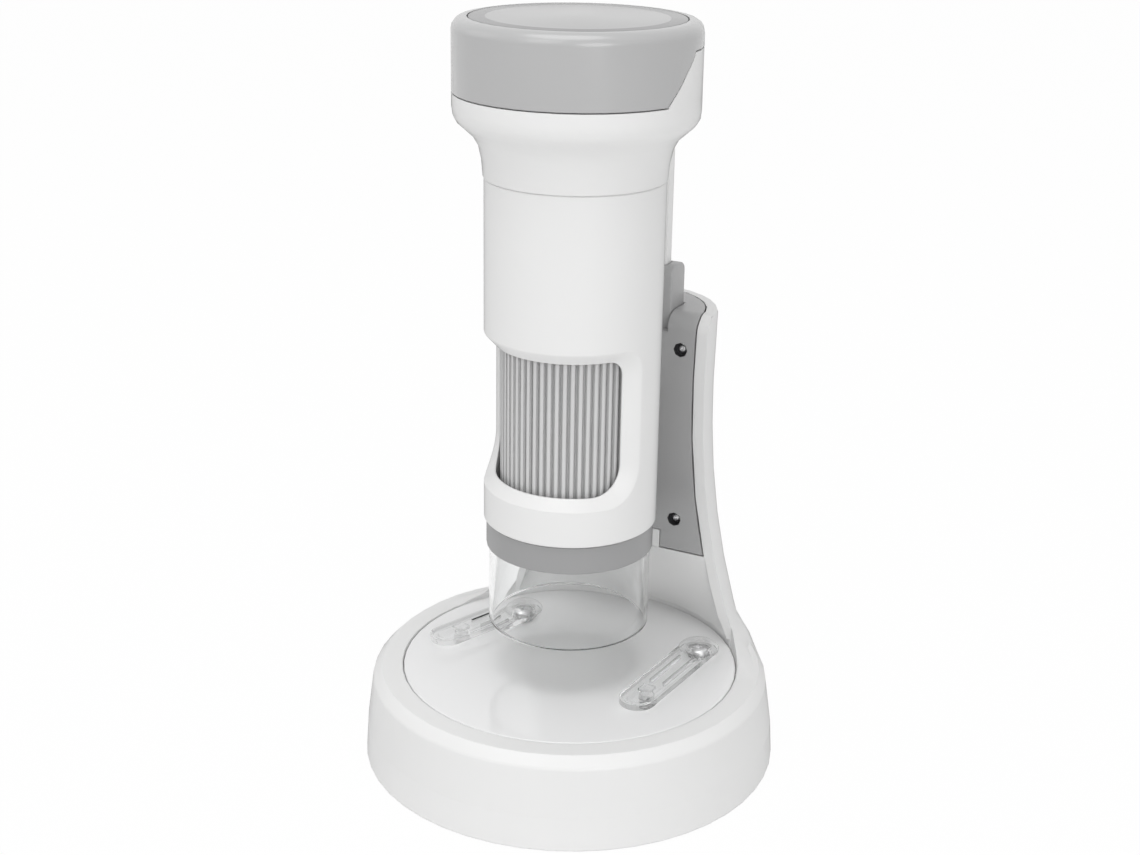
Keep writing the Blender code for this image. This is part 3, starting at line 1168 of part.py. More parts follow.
def make_optics():
    """The guide tube, the sliding lens barrel with its pin and lenses, and the image sensor."""
    place = (0, AXIS_Y, 0)
    inner = TUBE_R - TUBE_WALL
    flange_r = SPIGOT_IN_R - GAP
    tube = turned(
        "guide_tube",
        [(TUBE_R, TUBE_TOP_Z), (TUBE_R, TUBE_Z + TUBE_FLANGE_T), (flange_r, TUBE_Z + TUBE_FLANGE_T),
         (flange_r, TUBE_Z), (inner, TUBE_Z), (inner, TUBE_TOP_Z)],
        INNER_STEPS, "dark_plastic", place, ring=True,
    )
    slot_half = PIN_R + GAP
    slot = box("tube_slot", (-slot_half, 0, PIN_Z - FOCUS_TRAVEL - PIN_R - GAP * 2),
               (slot_half, TUBE_R + OVERRUN, PIN_Z + FOCUS_TRAVEL + PIN_R + GAP * 2), place=place)
    cut(tube, slot)
    bore = BARREL_R - BARREL_WALL
    seat = bore - BARREL_SEAT
    top = BARREL_Z + BARREL_H
    low_seat = BARREL_Z + BARREL_SEAT
    low_top = low_seat + LENS_T[0] + GAP * 2
    high_seat = top - LENS_T[1] - BARREL_SEAT - LENS_BULGE
    barrel = turned(
        "lens_barrel",
        [(BARREL_R, top), (BARREL_R, BARREL_Z), (seat, BARREL_Z), (seat, low_seat), (bore, low_seat),
         (bore, low_top), (seat, low_top), (seat, high_seat), (bore, high_seat), (bore, top)],
        INNER_STEPS, "dark_plastic", place, ring=True,
    )
    hole = rod("pin_hole", PIN_R + SEAM, -BARREL_R - OVERRUN, -seat + OVERRUN, TINY_STEPS,
               place=(0, AXIS_Y, PIN_Z), turn=(math.pi / 2, 0, 0))
    cut(barrel, hole)
    rod("cam_pin", PIN_R, -TUBE_R - PIN_REACH, -seat - SEAM, TINY_STEPS, material="steel",
        place=(0, AXIS_Y, PIN_Z), turn=(math.pi / 2, 0, 0))
    lens_r = bore - GAP
    for name, base, thick, sign in (("objective_lens", low_seat + GAP, LENS_T[0], -1),
                                    ("rear_lens", high_seat + GAP, LENS_T[1], 1)):
        face = [(lens_r * i / 4, LENS_BULGE * (1 - (i / 4) ** 2)) for i in range(5)]
        edge = thick - LENS_BULGE
        profile = [(r, base + edge + h) for r, h in face] + [(lens_r, base), (0, base)]
        turned(name, profile, SMALL_STEPS, "lens_glass", place)
    board_z = TUBE_TOP_Z + GAP
    rod("sensor_board", TUBE_R, board_z, board_z + BOARD_T, INNER_STEPS, material="circuit_board", place=place)
    box("image_sensor", (-SENSOR_HALF_W, -SENSOR_HALF_W, board_z - GAP - SENSOR_T), (SENSOR_HALF_W, SENSOR_HALF_W, board_z - GAP),
        material="dark_plastic", place=place)


def make_light_ring():
    """The grey ring under the barrel with its lamps, and the clear hood."""
    place = (0, AXIS_Y, 0)
    inner = RING_R - RING_WALL
    turned(
        "hood_ring",
        [(RING_SPIGOT_R, WHEEL_Z - GAP), (RING_SPIGOT_R, RING_TOP_Z), (RING_R, RING_TOP_Z), (RING_R, RING_Z), (inner, RING_Z), (inner, SHELF_Z), (SHELF_R, SHELF_Z), (SHELF_R, SHELF_Z + SHELF_T),
         (SPIGOT_IN_R, SHELF_Z + SHELF_T), (SPIGOT_IN_R, WHEEL_Z - GAP)],
        BODY_STEPS, "silver_plastic", place, ring=True,
    )
    board_r = SPIGOT_IN_R - GAP
    turned(
        "led_board",
        [(board_r, LED_BOARD_Z + BOARD_T), (board_r, LED_BOARD_Z), (LED_BOARD_R, LED_BOARD_Z), (LED_BOARD_R, LED_BOARD_Z + BOARD_T)],
        INNER_STEPS, "circuit_board", place, ring=True,
    )
    top = LED_BOARD_Z - GAP
    for i in range(LED_COUNT):
        angle = 2 * math.pi * (i + 0.5) / LED_COUNT
        profile = [(0, top), (LED_R, top)]
        profile += [(LED_R * math.cos(a), top - LED_T + LED_R * (1 - math.sin(a)) / 2) for a in (0, math.pi / 6, math.pi / 3)]
        profile.append((0, top - LED_T))
        turned(f"led_{i + 1}", profile, TINY_STEPS, "lamp", (LED_RING_R * math.cos(angle), AXIS_Y + LED_RING_R * math.sin(angle), 0))
    hood_in = HOOD_R - HOOD_WALL
    neck_r = HOOD_R - HOOD_NECK_STEP
    step_z = RING_Z - GAP
    turned(
        "clear_hood",
        [(neck_r, HOOD_TOP_Z), (neck_r, step_z), (HOOD_R, step_z), (HOOD_R, HOOD_Z), (hood_in, HOOD_Z), (hood_in, HOOD_TOP_Z)],
        BODY_STEPS, "clear_plastic", place, ring=True,
    )


def main():
    make_collections()
    make_material("white_plastic", (0.86, 0.86, 0.86), 0.35)
    make_material("grey_plastic", (0.36, 0.36, 0.365), 0.42)
    make_material("silver_plastic", (0.42, 0.42, 0.43), 0.38)
    make_material("dark_plastic", (0.03, 0.03, 0.032), 0.5)
    make_material("clear_plastic", (0.96, 0.97, 0.97), 0.05, 0.0, 0.9)
    make_material("display_glass", (0.5, 0.5, 0.51), 0.08)
    make_material("lens_glass", (0.9, 0.93, 0.95), 0.02, 0.0, 0.9)
    make_material("steel", (0.6, 0.6, 0.61), 0.3, 1.0)
    make_material("rubber", (0.05, 0.05, 0.05), 0.8)
    make_material("circuit_board", (0.02, 0.16, 0.07), 0.45)
    make_material("battery_wrap", (0.62, 0.63, 0.66), 0.4)
    make_material("ribbon", (0.55, 0.3, 0.06), 0.5)
    make_material("lamp", (0.95, 0.95, 0.85), 0.2)
    make_stand()
    make_base_pieces()
    make_panel()
    make_carriage()
    make_clip("right")
    make_clip("left")
    make_body()
    make_neck()
    make_head()
    make_inside()
    make_wheel()
    make_optics()
    make_light_ring()


main()
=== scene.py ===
"""Looks of a small digital microscope on its round stand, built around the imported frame.

Every size is in metres and every piece sits where the frame says.
"""

import math

import bmesh
import bpy
from bpy.props import FloatProperty, FloatVectorProperty, IntProperty, PointerProperty
from mathutils import Matrix, Vector


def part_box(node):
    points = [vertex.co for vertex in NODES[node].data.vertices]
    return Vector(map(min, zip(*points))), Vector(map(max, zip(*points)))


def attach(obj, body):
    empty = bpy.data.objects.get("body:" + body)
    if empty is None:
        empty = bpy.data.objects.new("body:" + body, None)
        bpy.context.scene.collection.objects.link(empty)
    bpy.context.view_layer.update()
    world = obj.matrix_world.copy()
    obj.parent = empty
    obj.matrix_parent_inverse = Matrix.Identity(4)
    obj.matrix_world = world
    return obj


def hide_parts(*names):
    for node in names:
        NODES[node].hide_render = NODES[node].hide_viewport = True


bl_info = {
    "name": "Bench Microscope",
    "version": (1, 0, 0),
    "blender": (4, 5, 0),
    "location": "View3D > Sidebar > Microscope",
    "description": "Dresses the microscope and its stand and sets up the studio",
    "category": "Object",
}

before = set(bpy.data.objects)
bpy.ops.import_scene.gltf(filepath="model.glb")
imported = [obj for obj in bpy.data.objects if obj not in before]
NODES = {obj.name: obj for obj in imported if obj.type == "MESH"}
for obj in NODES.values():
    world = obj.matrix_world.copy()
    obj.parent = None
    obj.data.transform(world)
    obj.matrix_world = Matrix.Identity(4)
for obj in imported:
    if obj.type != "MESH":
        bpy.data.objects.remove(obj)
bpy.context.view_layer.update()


def colour(name, description, *default):
    return FloatVectorProperty(
        name=name, description=description, default=default, subtype="COLOR", size=3, min=0.0, max=1.0
    )


def length(name, description, default, **limits):
    """A length setting in metres."""
    return FloatProperty(
        name=name, description=description, default=default, subtype="DISTANCE", **limits
    )


def angle(name, description, degrees, **limits):
    """An angle setting, its default given in degrees."""
    return FloatProperty(
        name=name, description=description, default=math.radians(degrees), subtype="ANGLE", **limits
    )


class MicroscopeFinishes(bpy.types.PropertyGroup):
    white: colour("White Plastic", "The moulded stand, barrel and neck", 0.80, 0.80, 0.797)
    grey: colour("Grey Plastic", "The ring above the clear hood", 0.325, 0.325, 0.328)
    panel: colour("Column Panel", "The column's panel and the slider in it", 0.40, 0.40, 0.402)
    stage: colour("Stage Disc", "The glossy white disc", 0.86, 0.86, 0.862)
    silver: colour("Head Ring Paint", "The painted ring round the display", 0.44, 0.44, 0.442)
    wheel: colour("Focus Wheel", "The ribbed focus wheel", 0.62, 0.62, 0.62)
    picture: colour("Display Picture", "The dim picture's disc", 0.35, 0.35, 0.35)
    border: colour("Display Border", "Printed round the picture", 0.18, 0.18, 0.182)
    grain: length("Mould Grain", "Height of the fine grain", 0.00001, min=0.0, max=0.0002)


class MicroscopeSizes(bpy.types.PropertyGroup):
    floor_radius: length("Floor Radius", "Half the width of the studio floor", 6.0, min=0.5)
    rib_count: IntProperty(name="Wheel Ribs", description="Ribs round the wheel", min=12, default=58)
    rib_height: length("Rib Height", "How far the ribs stand out", 0.0009, min=0.0002, max=0.003)
    window_low: length("Window Bottom", "Height of the window's lower edge", 0.0807)
    window_high: length("Window Top", "Height of the window's upper edge", 0.1161)
    window_angle: angle("Window Half Angle", "The window's reach from its middle", 73)
    window_turn: angle("Window Turn", "The window's middle, round from the front", -7)
    crease_low: length("Bevel Bottom", "Height where the bevel meets the skin below", 0.0781)
    crease_high: length("Bevel Top", "Height where the bevel meets the skin above", 0.1190)
    crease_angle: angle("Bevel Half Angle", "The bevel's reach from the window's middle", 84)
    window_land: length("Window Land", "Flat edge round the window inside its bevel", 0.0004)
    barrel_wall: length("Barrel Wall", "Wall of the barrel at the window", 0.0031)
    bore_step: length("Bore Step", "Height above which the barrel's bore is wider", 0.1203)
    bore_widening: length("Bore Widening", "How much wider the bore is above its step", 0.0013)
    rail_neck_half: length("Rail Neck", "Half the width of the rail's neck", 0.0075)
    rail_head_half: length("Rail Head", "Half the width of the rail's head", 0.0098)
    rail_head_depth: length("Rail Head Depth", "Depth of the rail's head", 0.0029)
    rail_floor: length("Rail Floor", "Height of the rail's end above the slider's", 0.0180)
    right_clip: angle("Right Clip", "The right clip's turn from straight forward", -4)
    left_clip: angle("Left Clip", "The left clip's turn from straight forward", -19)
    right_length: length("Right Clip Length", "From its screw to its tip's middle", 0.0340)
    left_length: length("Left Clip Length", "From its screw to its tip's middle", 0.0280)
    clip_thickness: length("Clip Thickness", "From a clip's underside to its rim", 0.0022)
    seam_close: length("Seam Closing", "The barrel's reach into its upper gap", 0.00024, min=0.0)
    picture_radius: length("Picture Radius", "Radius of the picture's disc", 0.02223, min=0.005)
    hood_wall: length("Hood Wall", "Thickness of the clear hood", 0.0015, min=0.0005, max=0.004)
    smooth_angle: angle("Edge Angle", "Faces that meet at more stay sharp", 30, min=0.0, max=math.pi)
    edge_round: length("Edge Rounding", "Radius of the soft edges", 0.00035, min=0.0, max=0.002)


def finishes():
    return bpy.context.scene.microscope_finishes


def sizes():
    return bpy.context.scene.microscope_sizes


def place_of(node):
    """Centre and half size of a frame node's box."""
    low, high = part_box(node)
    return (low + high) / 2, (high - low) / 2


AXIS = place_of("clear_hood")[0]
BARREL_CENTRE = (0.0, AXIS.y, 0.0)
SMOOTH_STEPS = 144
# Closer than this, vertices of a piece, or of the frame's own meshes, are one
MERGE, NODE_MERGE = 0.000002, 0.000004
# Room for error where vertices are picked by their place
NEAR = 0.00001
# The foot's wall in bands: from, to, and the lean of its shading in degrees, out is positive
FOOT_BANDS = ((0.0094, 0.0219, 4.0), (0.0219, 0.0250, -3.0))


def feed(tree, node, sources):
    """Gives each input named its value, or links it to the output that feeds it."""
    for label, source in sources.items():
        if isinstance(source, bpy.types.NodeSocket):
            tree.links.new(source, node.inputs[label])
        else:
            node.inputs[label].default_value = source


def add_node(tree, kind, sources=None, **settings):
    """A new node with its settings and what feeds its inputs."""
    node = tree.nodes.new(kind)
    for key, value in settings.items():
        setattr(node, key, value)
    feed(tree, node, sources or {})
    return node


def reckon(tree, operation, *sources):
    """The result of a sum on values or outputs."""
    inputs = dict(enumerate(sources))
    return add_node(tree, "ShaderNodeMath", inputs, operation=operation).outputs[0]


def between(tree, share, first, second):
    """The colour between two colours at a share."""
    sources = {"Fac": share, "Color1": first, "Color2": second}
    return add_node(tree, "ShaderNodeMixRGB", sources).outputs["Color"]


def spread(tree, value, low, high, first=0.0, last=1.0, **settings):
    """Draws a value's way from low to high out over first to last, and holds it at both ends."""
    sources = {"Value": value, "From Min": low, "From Max": high, "To Min": first, "To Max": last}
    return add_node(tree, "ShaderNodeMapRange", sources, **settings).outputs["Result"]


def noise(tree, place, scale, detail):
    sources = {"Vector": place, "Scale": scale, "Detail": detail}
    return add_node(tree, "ShaderNodeTexNoise", sources).outputs["Fac"]


def object_place(tree):
    """The place on the object."""
    return add_node(tree, "ShaderNodeTexCoord").outputs["Object"]


def upward(tree, vector):
    """The Z share of a vector."""
    return add_node(tree, "ShaderNodeSeparateXYZ", {"Vector": vector}).outputs["Z"]


def bumped(tree, height, distance, normal):
    """A normal bent by a height."""
    sources = {"Strength": 1.0, "Distance": distance, "Height": height, "Normal": normal}
    return add_node(tree, "ShaderNodeBump", sources).outputs["Normal"]


def opaque(tint, share=1.0):
    """A colour with its alpha, and darker where the share is less than 1."""
    return (*(value * share for value in tint), 1.0)


def new_material(name):
    """A material, its tree and its Principled shader."""
    material = bpy.data.materials.new(name)
    material.use_nodes = True
    return material, material.node_tree, material.node_tree.nodes["Principled BSDF"]


def source_of(shader, label):
    """The output that feeds an input of the shader now."""
    return shader.inputs[label].links[0].from_socket


GRAIN_INPUTS = (
    ("Colour", "Color", (0.8, 0.8, 0.8, 1.0)),
    ("Grain Scale", "Float", 9000.0),
    ("Grain Height", "Float", 0.00001),
    ("Roughness", "Float", 0.4),
    ("Gloss Change", "Float", 0.06),
    ("Tone Change", "Float", 0.02),
    ("Edge Radius", "Float", 0.0003),
)
# Outputs of the grain group, and the shader's inputs that they feed
GRAIN_OUTPUTS = (
    ("Colour", "Color", "Base Color"),
    ("Roughness", "Float", "Roughness"),
    ("Normal", "Vector", "Normal"),
)
CLOUD_SCALE = 55.0


def mould_grain_group():
    """Fine spark-eroded grain with slow changes of gloss, as on injection mouldings."""
    found = bpy.data.node_groups.get("MouldGrain")
    if found:
        return found
    group = bpy.data.node_groups.new("MouldGrain", "ShaderNodeTree")
    for label, kind, value in GRAIN_INPUTS:
        kind = f"NodeSocket{kind}"
        socket = group.interface.new_socket(name=label, in_out="INPUT", socket_type=kind)
        socket.default_value = value
    for label, kind, _ in GRAIN_OUTPUTS:
        kind = f"NodeSocket{kind}"
        group.interface.new_socket(name=label, in_out="OUTPUT", socket_type=kind)
    given = group.nodes.new("NodeGroupInput").outputs
    place = object_place(group)
    fine = noise(group, place, given["Grain Scale"], 3.0)
    change = reckon(group, "SUBTRACT", noise(group, place, CLOUD_SCALE, 4.0), 0.5)
    gloss = reckon(group, "MULTIPLY_ADD", change, given["Gloss Change"], given["Roughness"])
    tone = reckon(group, "MULTIPLY_ADD", change, given["Tone Change"], 1.0)
    scaled = {0: given["Colour"], "Scale": tone}
    tint = add_node(group, "ShaderNodeVectorMath", scaled, operation="SCALE").outputs[0]
    soft = add_node(group, "ShaderNodeBevel", {"Radius": given["Edge Radius"]}, samples=4)
    normal = bumped(group, fine, given["Grain Height"], soft.outputs["Normal"])
    end = group.nodes.new("NodeGroupOutput")
    feed(group, end, {"Colour": tint, "Roughness": gloss, "Normal": normal})
    return group


def grained(name, tint, roughness, changes):
    """A material whose surface comes from the grain group, and its shader."""
    material, tree, shader = new_material(name)
    inputs = {"Colour": opaque(tint), "Roughness": roughness, **changes}
    effect = add_node(tree, "ShaderNodeGroup", inputs, node_tree=mould_grain_group())
    for label, _, socket in GRAIN_OUTPUTS:
        feed(tree, shader, {socket: effect.outputs[label]})
    return material, shader


def moulded(
    name, tint, roughness, grain_scale=9000.0, grain=1.0, tone=0.02, coat=0.0, outline=0.0
):
    """Moulded plastic with a fine grain, a clear coat if asked for, and painted shade on its grazing
    rims.
    """
    changes = {
        "Grain Scale": grain_scale,
        "Grain Height": finishes().grain * grain,
        "Tone Change": tone,
        "Edge Radius": sizes().edge_round,
    }
    material, shader = grained(name, tint, roughness, changes)
    if coat:
        feed(material.node_tree, shader, {"Coat Weight": coat, "Coat Roughness": 0.12})
    # The outline share paints shade on the grazing rims
    if outline:
        paint_grazing_shade(material.node_tree, shader, outline)
    return material


def plated(name, tint, roughness):
    """Plated steel with fine turning marks."""
    marks = {"Grain Scale": 4000.0, "Grain Height": 0.000004, "Gloss Change": 0.12}
    material, shader = grained(name, tint, roughness, {**marks, "Edge Radius": 0.0001})
    shader.inputs["Metallic"].default_value = 1.0
    return material


def facing_away(tree, blend):
    """How far a surface is turned away from the view."""
    return add_node(tree, "ShaderNodeLayerWeight", {"Blend": blend}).outputs["Facing"]


# Colour of the painted shade on grazing rims, standing in for a dark wall's reflection
GRAZING_SHADE_TINT = (0.03, 0.03, 0.03)
RIM_NARROWNESS, PLASTIC_SPECULAR = 9.0, 0.5


def paint_grazing_shade(tree, shader, strength):
    """Paints shade on the last grazing sliver of a surface, standing in for a dark studio wall's
    reflection.
    """
    sliver = reckon(tree, "POWER", facing_away(tree, 0.5), RIM_NARROWNESS)
    share = reckon(tree, "MULTIPLY", sliver, strength)
    shade = between(tree, share, source_of(shader, "Base Color"), opaque(GRAZING_SHADE_TINT))
    gloss = spread(tree, share, 0.0, 1.0, PLASTIC_SPECULAR, 0.0)
    feed(tree, shader, {"Base Color": shade, "Specular IOR Level": gloss})


def foot_bands(material):
    """Bends the shading of the foot's wall into three bands: a chamfer, a wall and a skirt."""
    tree = material.node_tree
    shader = tree.nodes["Principled BSDF"]
    height = upward(tree, object_place(tree))
    rises = [
        spread(tree, height, low, high, 0.0, (high - low) * math.tan(math.radians(lean)))
        for low, high, lean in FOOT_BANDS
    ]
    bent = bumped(tree, reckon(tree, "ADD", *rises), 1.0, source_of(shader, "Normal"))
    feed(tree, shader, {"Normal": bent})


def clear(name, tint, roughness, index, rim_shade=0.0):
    """Clear moulded plastic or glass with a faint tint, a polished skin and painted shade on its
    grazing rims.
    """
    material, tree, shader = new_material(name)
    smear = noise(tree, object_place(tree), 90.0, 3.0)
    # Painted shade: darker towards the grazing rims, by the rim share
    shade = between(tree, facing_away(tree, 0.25), opaque(tint), opaque(tint, 1 - rim_shade))
    surface = {
        "Base Color": shade,
        "Roughness": spread(tree, smear, 0.0, 1.0, roughness * 0.6, roughness * 1.4),
        "Transmission Weight": 1.0,
        "IOR": index,
        "Coat Weight": 0.6,
        "Coat Roughness": 0.04,
    }
    feed(tree, shader, surface)
    return material


def paint_side_shade(material, grey):
    """Painted shade on a clear moulding's upright faces, which look grey as light passes through its
    edges.
    """
    tree = material.node_tree
    shader = tree.nodes["Principled BSDF"]
    facing = add_node(tree, "ShaderNodeNewGeometry").outputs["Normal"]
    mask = spread(tree, reckon(tree, "ABSOLUTE", upward(tree, facing)), 0.9, 0.35)
    shade = between(tree, mask, source_of(shader, "Base Color"), opaque(grey))
    feed(tree, shader, {"Base Color": shade})


PICTURE_SOFTNESS = 0.00008


def display_material():
    """Cover glass over a dim display: a printed border round the picture's disc."""
    material, tree, shader = new_material("display_face")
    place = object_place(tree)
    flat = {"Vector": place, "Location": (0.0, -AXIS.y, 0.0), "Scale": (1.0, 1.0, 0.0)}
    centred = add_node(tree, "ShaderNodeMapping", flat).outputs["Vector"]
    away = add_node(tree, "ShaderNodeVectorMath", {0: centred}, operation="LENGTH").outputs["Value"]
    edge = sizes().picture_radius
    near, far = edge - PICTURE_SOFTNESS, edge + PICTURE_SOFTNESS
    mask = spread(tree, away, near, far, interpolation_type="SMOOTHSTEP")
    haze = noise(tree, place, 60.0, 2.0)
    tint = finishes().picture
    picture = between(tree, haze, opaque(tint), opaque(tint, 0.94))
    surface = {
        "Base Color": between(tree, mask, picture, opaque(finishes().border)),
        "Roughness": spread(tree, haze, 0.0, 1.0, 0.16, 0.26),
        "Specular IOR Level": 0.35,
    }
    feed(tree, shader, surface)
    return material


def edit_mode():
    bpy.ops.object.mode_set(mode="EDIT")


def object_mode():
    bpy.ops.object.mode_set(mode="OBJECT")


def deselect_all():
    if bpy.context.mode != "OBJECT":
        object_mode()
    bpy.ops.object.select_all(action="DESELECT")


def activate(piece, *others):
    """Selects pieces and nothing else, the first of them active."""
    deselect_all()
    for each in (piece, *others):
        each.select_set(True)
    bpy.context.view_layer.objects.active = piece


def give_material(obj, material):
    obj.data.materials.clear()
    obj.data.materials.append(material)


def select_all():
    bpy.ops.mesh.select_all(action="SELECT")


def select_where(piece, test):
    """In edit mode, selects the vertices that pass the test and nothing else."""
    bpy.ops.mesh.select_mode(type="VERT")
    bpy.ops.mesh.select_all(action="DESELECT")
    mesh = bmesh.from_edit_mesh(piece.data)
    for vert in mesh.verts:
        vert.select = bool(test(vert.co))
    mesh.select_flush(True)
    bmesh.update_edit_mesh(piece.data)


def merge_all(distance):
    """In edit mode, merges vertices closer than a distance."""
    select_all()
    bpy.ops.mesh.remove_doubles(threshold=distance)


def clean_mesh(piece):
    """Merges doubles and turns faces outwards on the active piece."""
    bpy.context.view_layer.objects.active = piece
    edit_mode()
    merge_all(MERGE)
    bpy.ops.mesh.normals_make_consistent(inside=False)
    object_mode()


def begin(name):
    """Names the active object, applies its place to its mesh and starts to edit it."""
    piece = bpy.context.object
    piece.name = piece.data.name = name
    bpy.ops.object.transform_apply(location=True, rotation=True, scale=True)
    edit_mode()
    return piece


def complete(piece, material, body, slot, *nodes):
    """Cleans and shades a piece, gives it its material and settles it."""
    activate(piece)
    clean_mesh(piece)
    bpy.ops.object.shade_smooth_by_angle(angle=sizes().smooth_angle)
    give_material(piece, bpy.data.materials[material])
    settle(piece, body, slot, *nodes)


def settle(piece, body, slot, *nodes):
    """Rides the piece on its body and lets it stand for the frame nodes named."""
    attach(piece, body)
    if nodes:
        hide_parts(*nodes)


def turned(name, profile, steps=48, centre=(0.0, 0.0, 0.0)):
    """A round piece: a circle drawn out and resized from ring to ring of (radius, height).

    A profile that starts and ends on the axis is solid, any other is closed into a ring.
    """
    solid = profile[0][0] == 0
    rings = profile[1:-1] if solid else list(profile) + [profile[0]]
    deselect_all()
    bpy.ops.mesh.primitive_circle_add(
        vertices=steps,
        radius=rings[0][0],
        location=(centre[0], centre[1], rings[0][1]),
        fill_type="NOTHING",
    )
    piece = begin(name)
    select_all()
    if solid:
        bpy.ops.mesh.edge_face_add()
        bpy.ops.mesh.select_mode(type="EDGE")
    for (radius, z), (next_radius, next_z) in zip(rings, rings[1:]):
        bpy.ops.mesh.extrude_edges_move(TRANSFORM_OT_translate={"value": (0, 0, next_z - z)})
        bpy.ops.transform.resize(
            value=(next_radius / radius, next_radius / radius, 1),
            center_override=(centre[0], centre[1], next_z),
        )
    if solid:
        bpy.ops.mesh.edge_face_add()
    object_mode()
    return piece


def rod(name, radius, low, high):
    """A plain cylinder up the Z axis."""
    return turned(name, ((0, low), (radius, low), (radius, high), (0, high)))


def rounded(*corners):
    """A profile's corners, each (radius, height) or rounded with (radius, height, size)."""
    steps, most = 4, 0.45
    result = []
    for i, corner in enumerate(corners):
        here = Vector(corner[:2])
        if len(corner) == 2:
            result.append(tuple(here))
            continue
        before = Vector(corners[i - 1][:2]) - here
        after = Vector(corners[(i + 1) % len(corners)][:2]) - here
        size = min(corner[2], before.length * most, after.length * most)
        start = here + before.normalized() * size
        end = here + after.normalized() * size
        for k in range(steps + 1):
            t = k / steps
            result.append(tuple(start * (1 - t) ** 2 + here * 2 * t * (1 - t) + end * t**2))
    return result


def block(name, low, high):
    """A cube drawn out between two corners, left in edit mode."""
    low, high = Vector(low), Vector(high)
    deselect_all()
    bpy.ops.mesh.primitive_cube_add(size=1, location=(low + high) / 2)
    bpy.context.object.dimensions = high - low
    return begin(name)


def rounded_box(name, low, high, radius=0.0001, steps=1):
    """A block with rounded edges."""
    piece = block(name, low, high)
    select_all()
    bpy.ops.mesh.bevel(offset=radius, segments=steps)
    object_mode()
    return piece


def combine(piece, operation, other):
    """Cuts or joins one piece with another and removes the other."""
    activate(piece)
    for shape in (piece, other):
        clean_mesh(shape)
    bpy.context.view_layer.objects.active = piece
    change = piece.modifiers.new(operation.title(), "BOOLEAN")
    change.operation = operation
    change.object = other
    bpy.ops.object.modifier_apply(modifier=change.name)
    bpy.data.objects.remove(other)


def soften(node):
    """Joins a frame node's loose faces and shades its curves smooth, with its mesh kept."""
    for face in node.data.polygons:
        face.use_smooth = True
    weld = node.modifiers.new("join_faces", "WELD")
    weld.merge_threshold = NODE_MERGE
    split = node.modifiers.new("keep_edges", "EDGE_SPLIT")
    split.split_angle = sizes().smooth_angle
    split.use_edge_sharp = False
    even = node.modifiers.new("even_shading", "WEIGHTED_NORMAL")
    even.weight = 80
    even.keep_sharp = True


# Each lamp's name, place, target, width and power
LAMPS = (
    ("key_lamp", (-0.10, -1.00, 0.80), (0, 0, 0.09), 0.7, 1.95),
    ("left_lamp", (-0.95, -0.25, 0.55), (0, 0, 0.09), 0.6, 0.5),
    ("right_lamp", (0.75, -0.75, 0.40), (0, 0, 0.09), 0.6, 2.5),
    ("top_lamp", (0.0, -0.25, 1.20), (0, 0, 0.05), 0.9, 5.4),
)
CAMERA_PLACE = Vector((0.1988, -0.3874, 0.2516))
CAMERA_YAW = math.radians(27.291)
CAMERA_PITCH = math.radians(20.110)
CAMERA_ROLL = math.radians(0.926)
CAMERA_LENS = 56.489
SENSOR_WIDTH = 36.0
NEAREST, FARTHEST = 0.01, 50
WHITE = (1.0, 1.0, 1.0, 1.0)
WORLD_LIGHT = 0.50
FLOOR_TINT = (0.86, 0.86, 0.86, 1.0)
FLOOR_GLOW_SHARE = 0.975


class STAGE_OT_studio(bpy.types.Operator):
    """Add the pale floor, the lamps, the world and the camera"""

    bl_idname = "microscope.studio"
    bl_label = "Studio"

    def execute(self, context):
        deselect_all()
        bpy.ops.mesh.primitive_plane_add(size=2 * sizes().floor_radius, location=(0, 0, 0))
        floor = context.object
        floor.name = "floor"
        floor.data.materials.append(floor_material())
        set_world(context.scene)
        for lamp in LAMPS:
            add_lamp(*lamp)
        add_camera(context.scene)
        context.scene.view_settings.view_transform = "Standard"
        return {"FINISHED"}


def mix_shaders(tree, share, first, second):
    """Two shaders mixed at a share."""
    sources = {"Fac": share, 1: first.outputs[0], 2: second.outputs[0]}
    return add_node(tree, "ShaderNodeMixShader", sources)


def only_camera(tree, seen, lit):
    """Mixes two shaders, the first for what the camera, gloss and clear parts see."""
    path = add_node(tree, "ShaderNodeLightPath").outputs
    either = reckon(tree, "MAXIMUM", path["Is Camera Ray"], path["Is Glossy Ray"])
    shown = reckon(tree, "MAXIMUM", either, path["Is Transmission Ray"])
    return mix_shaders(tree, shown, lit, seen)


def floor_material():
    """Pale floor that reads as white and still takes a faint shadow."""
    material, tree, shader = new_material("studio_floor")
    feed(tree, shader, {"Base Color": FLOOR_TINT, "Roughness": 0.7})
    glow = add_node(tree, "ShaderNodeEmission", {"Strength": 1.0})
    pale = mix_shaders(tree, FLOOR_GLOW_SHARE, shader, glow)
    mix = only_camera(tree, pale, shader)
    feed(tree, tree.nodes["Material Output"], {"Surface": mix.outputs[0]})
    return material


def set_world(scene):
    """A white world that lights less than it shows."""
    world = bpy.data.worlds.new("studio_world")
    scene.world = world
    world.use_nodes = True
    tree = world.node_tree
    lit = tree.nodes["Background"]
    feed(tree, lit, {"Color": WHITE, "Strength": WORLD_LIGHT})
    seen = add_node(tree, "ShaderNodeBackground", {"Color": WHITE, "Strength": 1.0})
    mix = only_camera(tree, seen, lit)
    feed(tree, tree.nodes["World Output"], {"Surface": mix.outputs[0]})


def add_lamp(name, place, target, size, power):
    bpy.ops.object.light_add(type="AREA", location=place)
    lamp = bpy.context.object
    lamp.name = name
    lamp.data.shape = "DISK"
    lamp.data.size = size
    lamp.data.energy = power
    aim = Vector(target) - Vector(place)
    lamp.rotation_euler = aim.to_track_quat("-Z", "Y").to_euler()


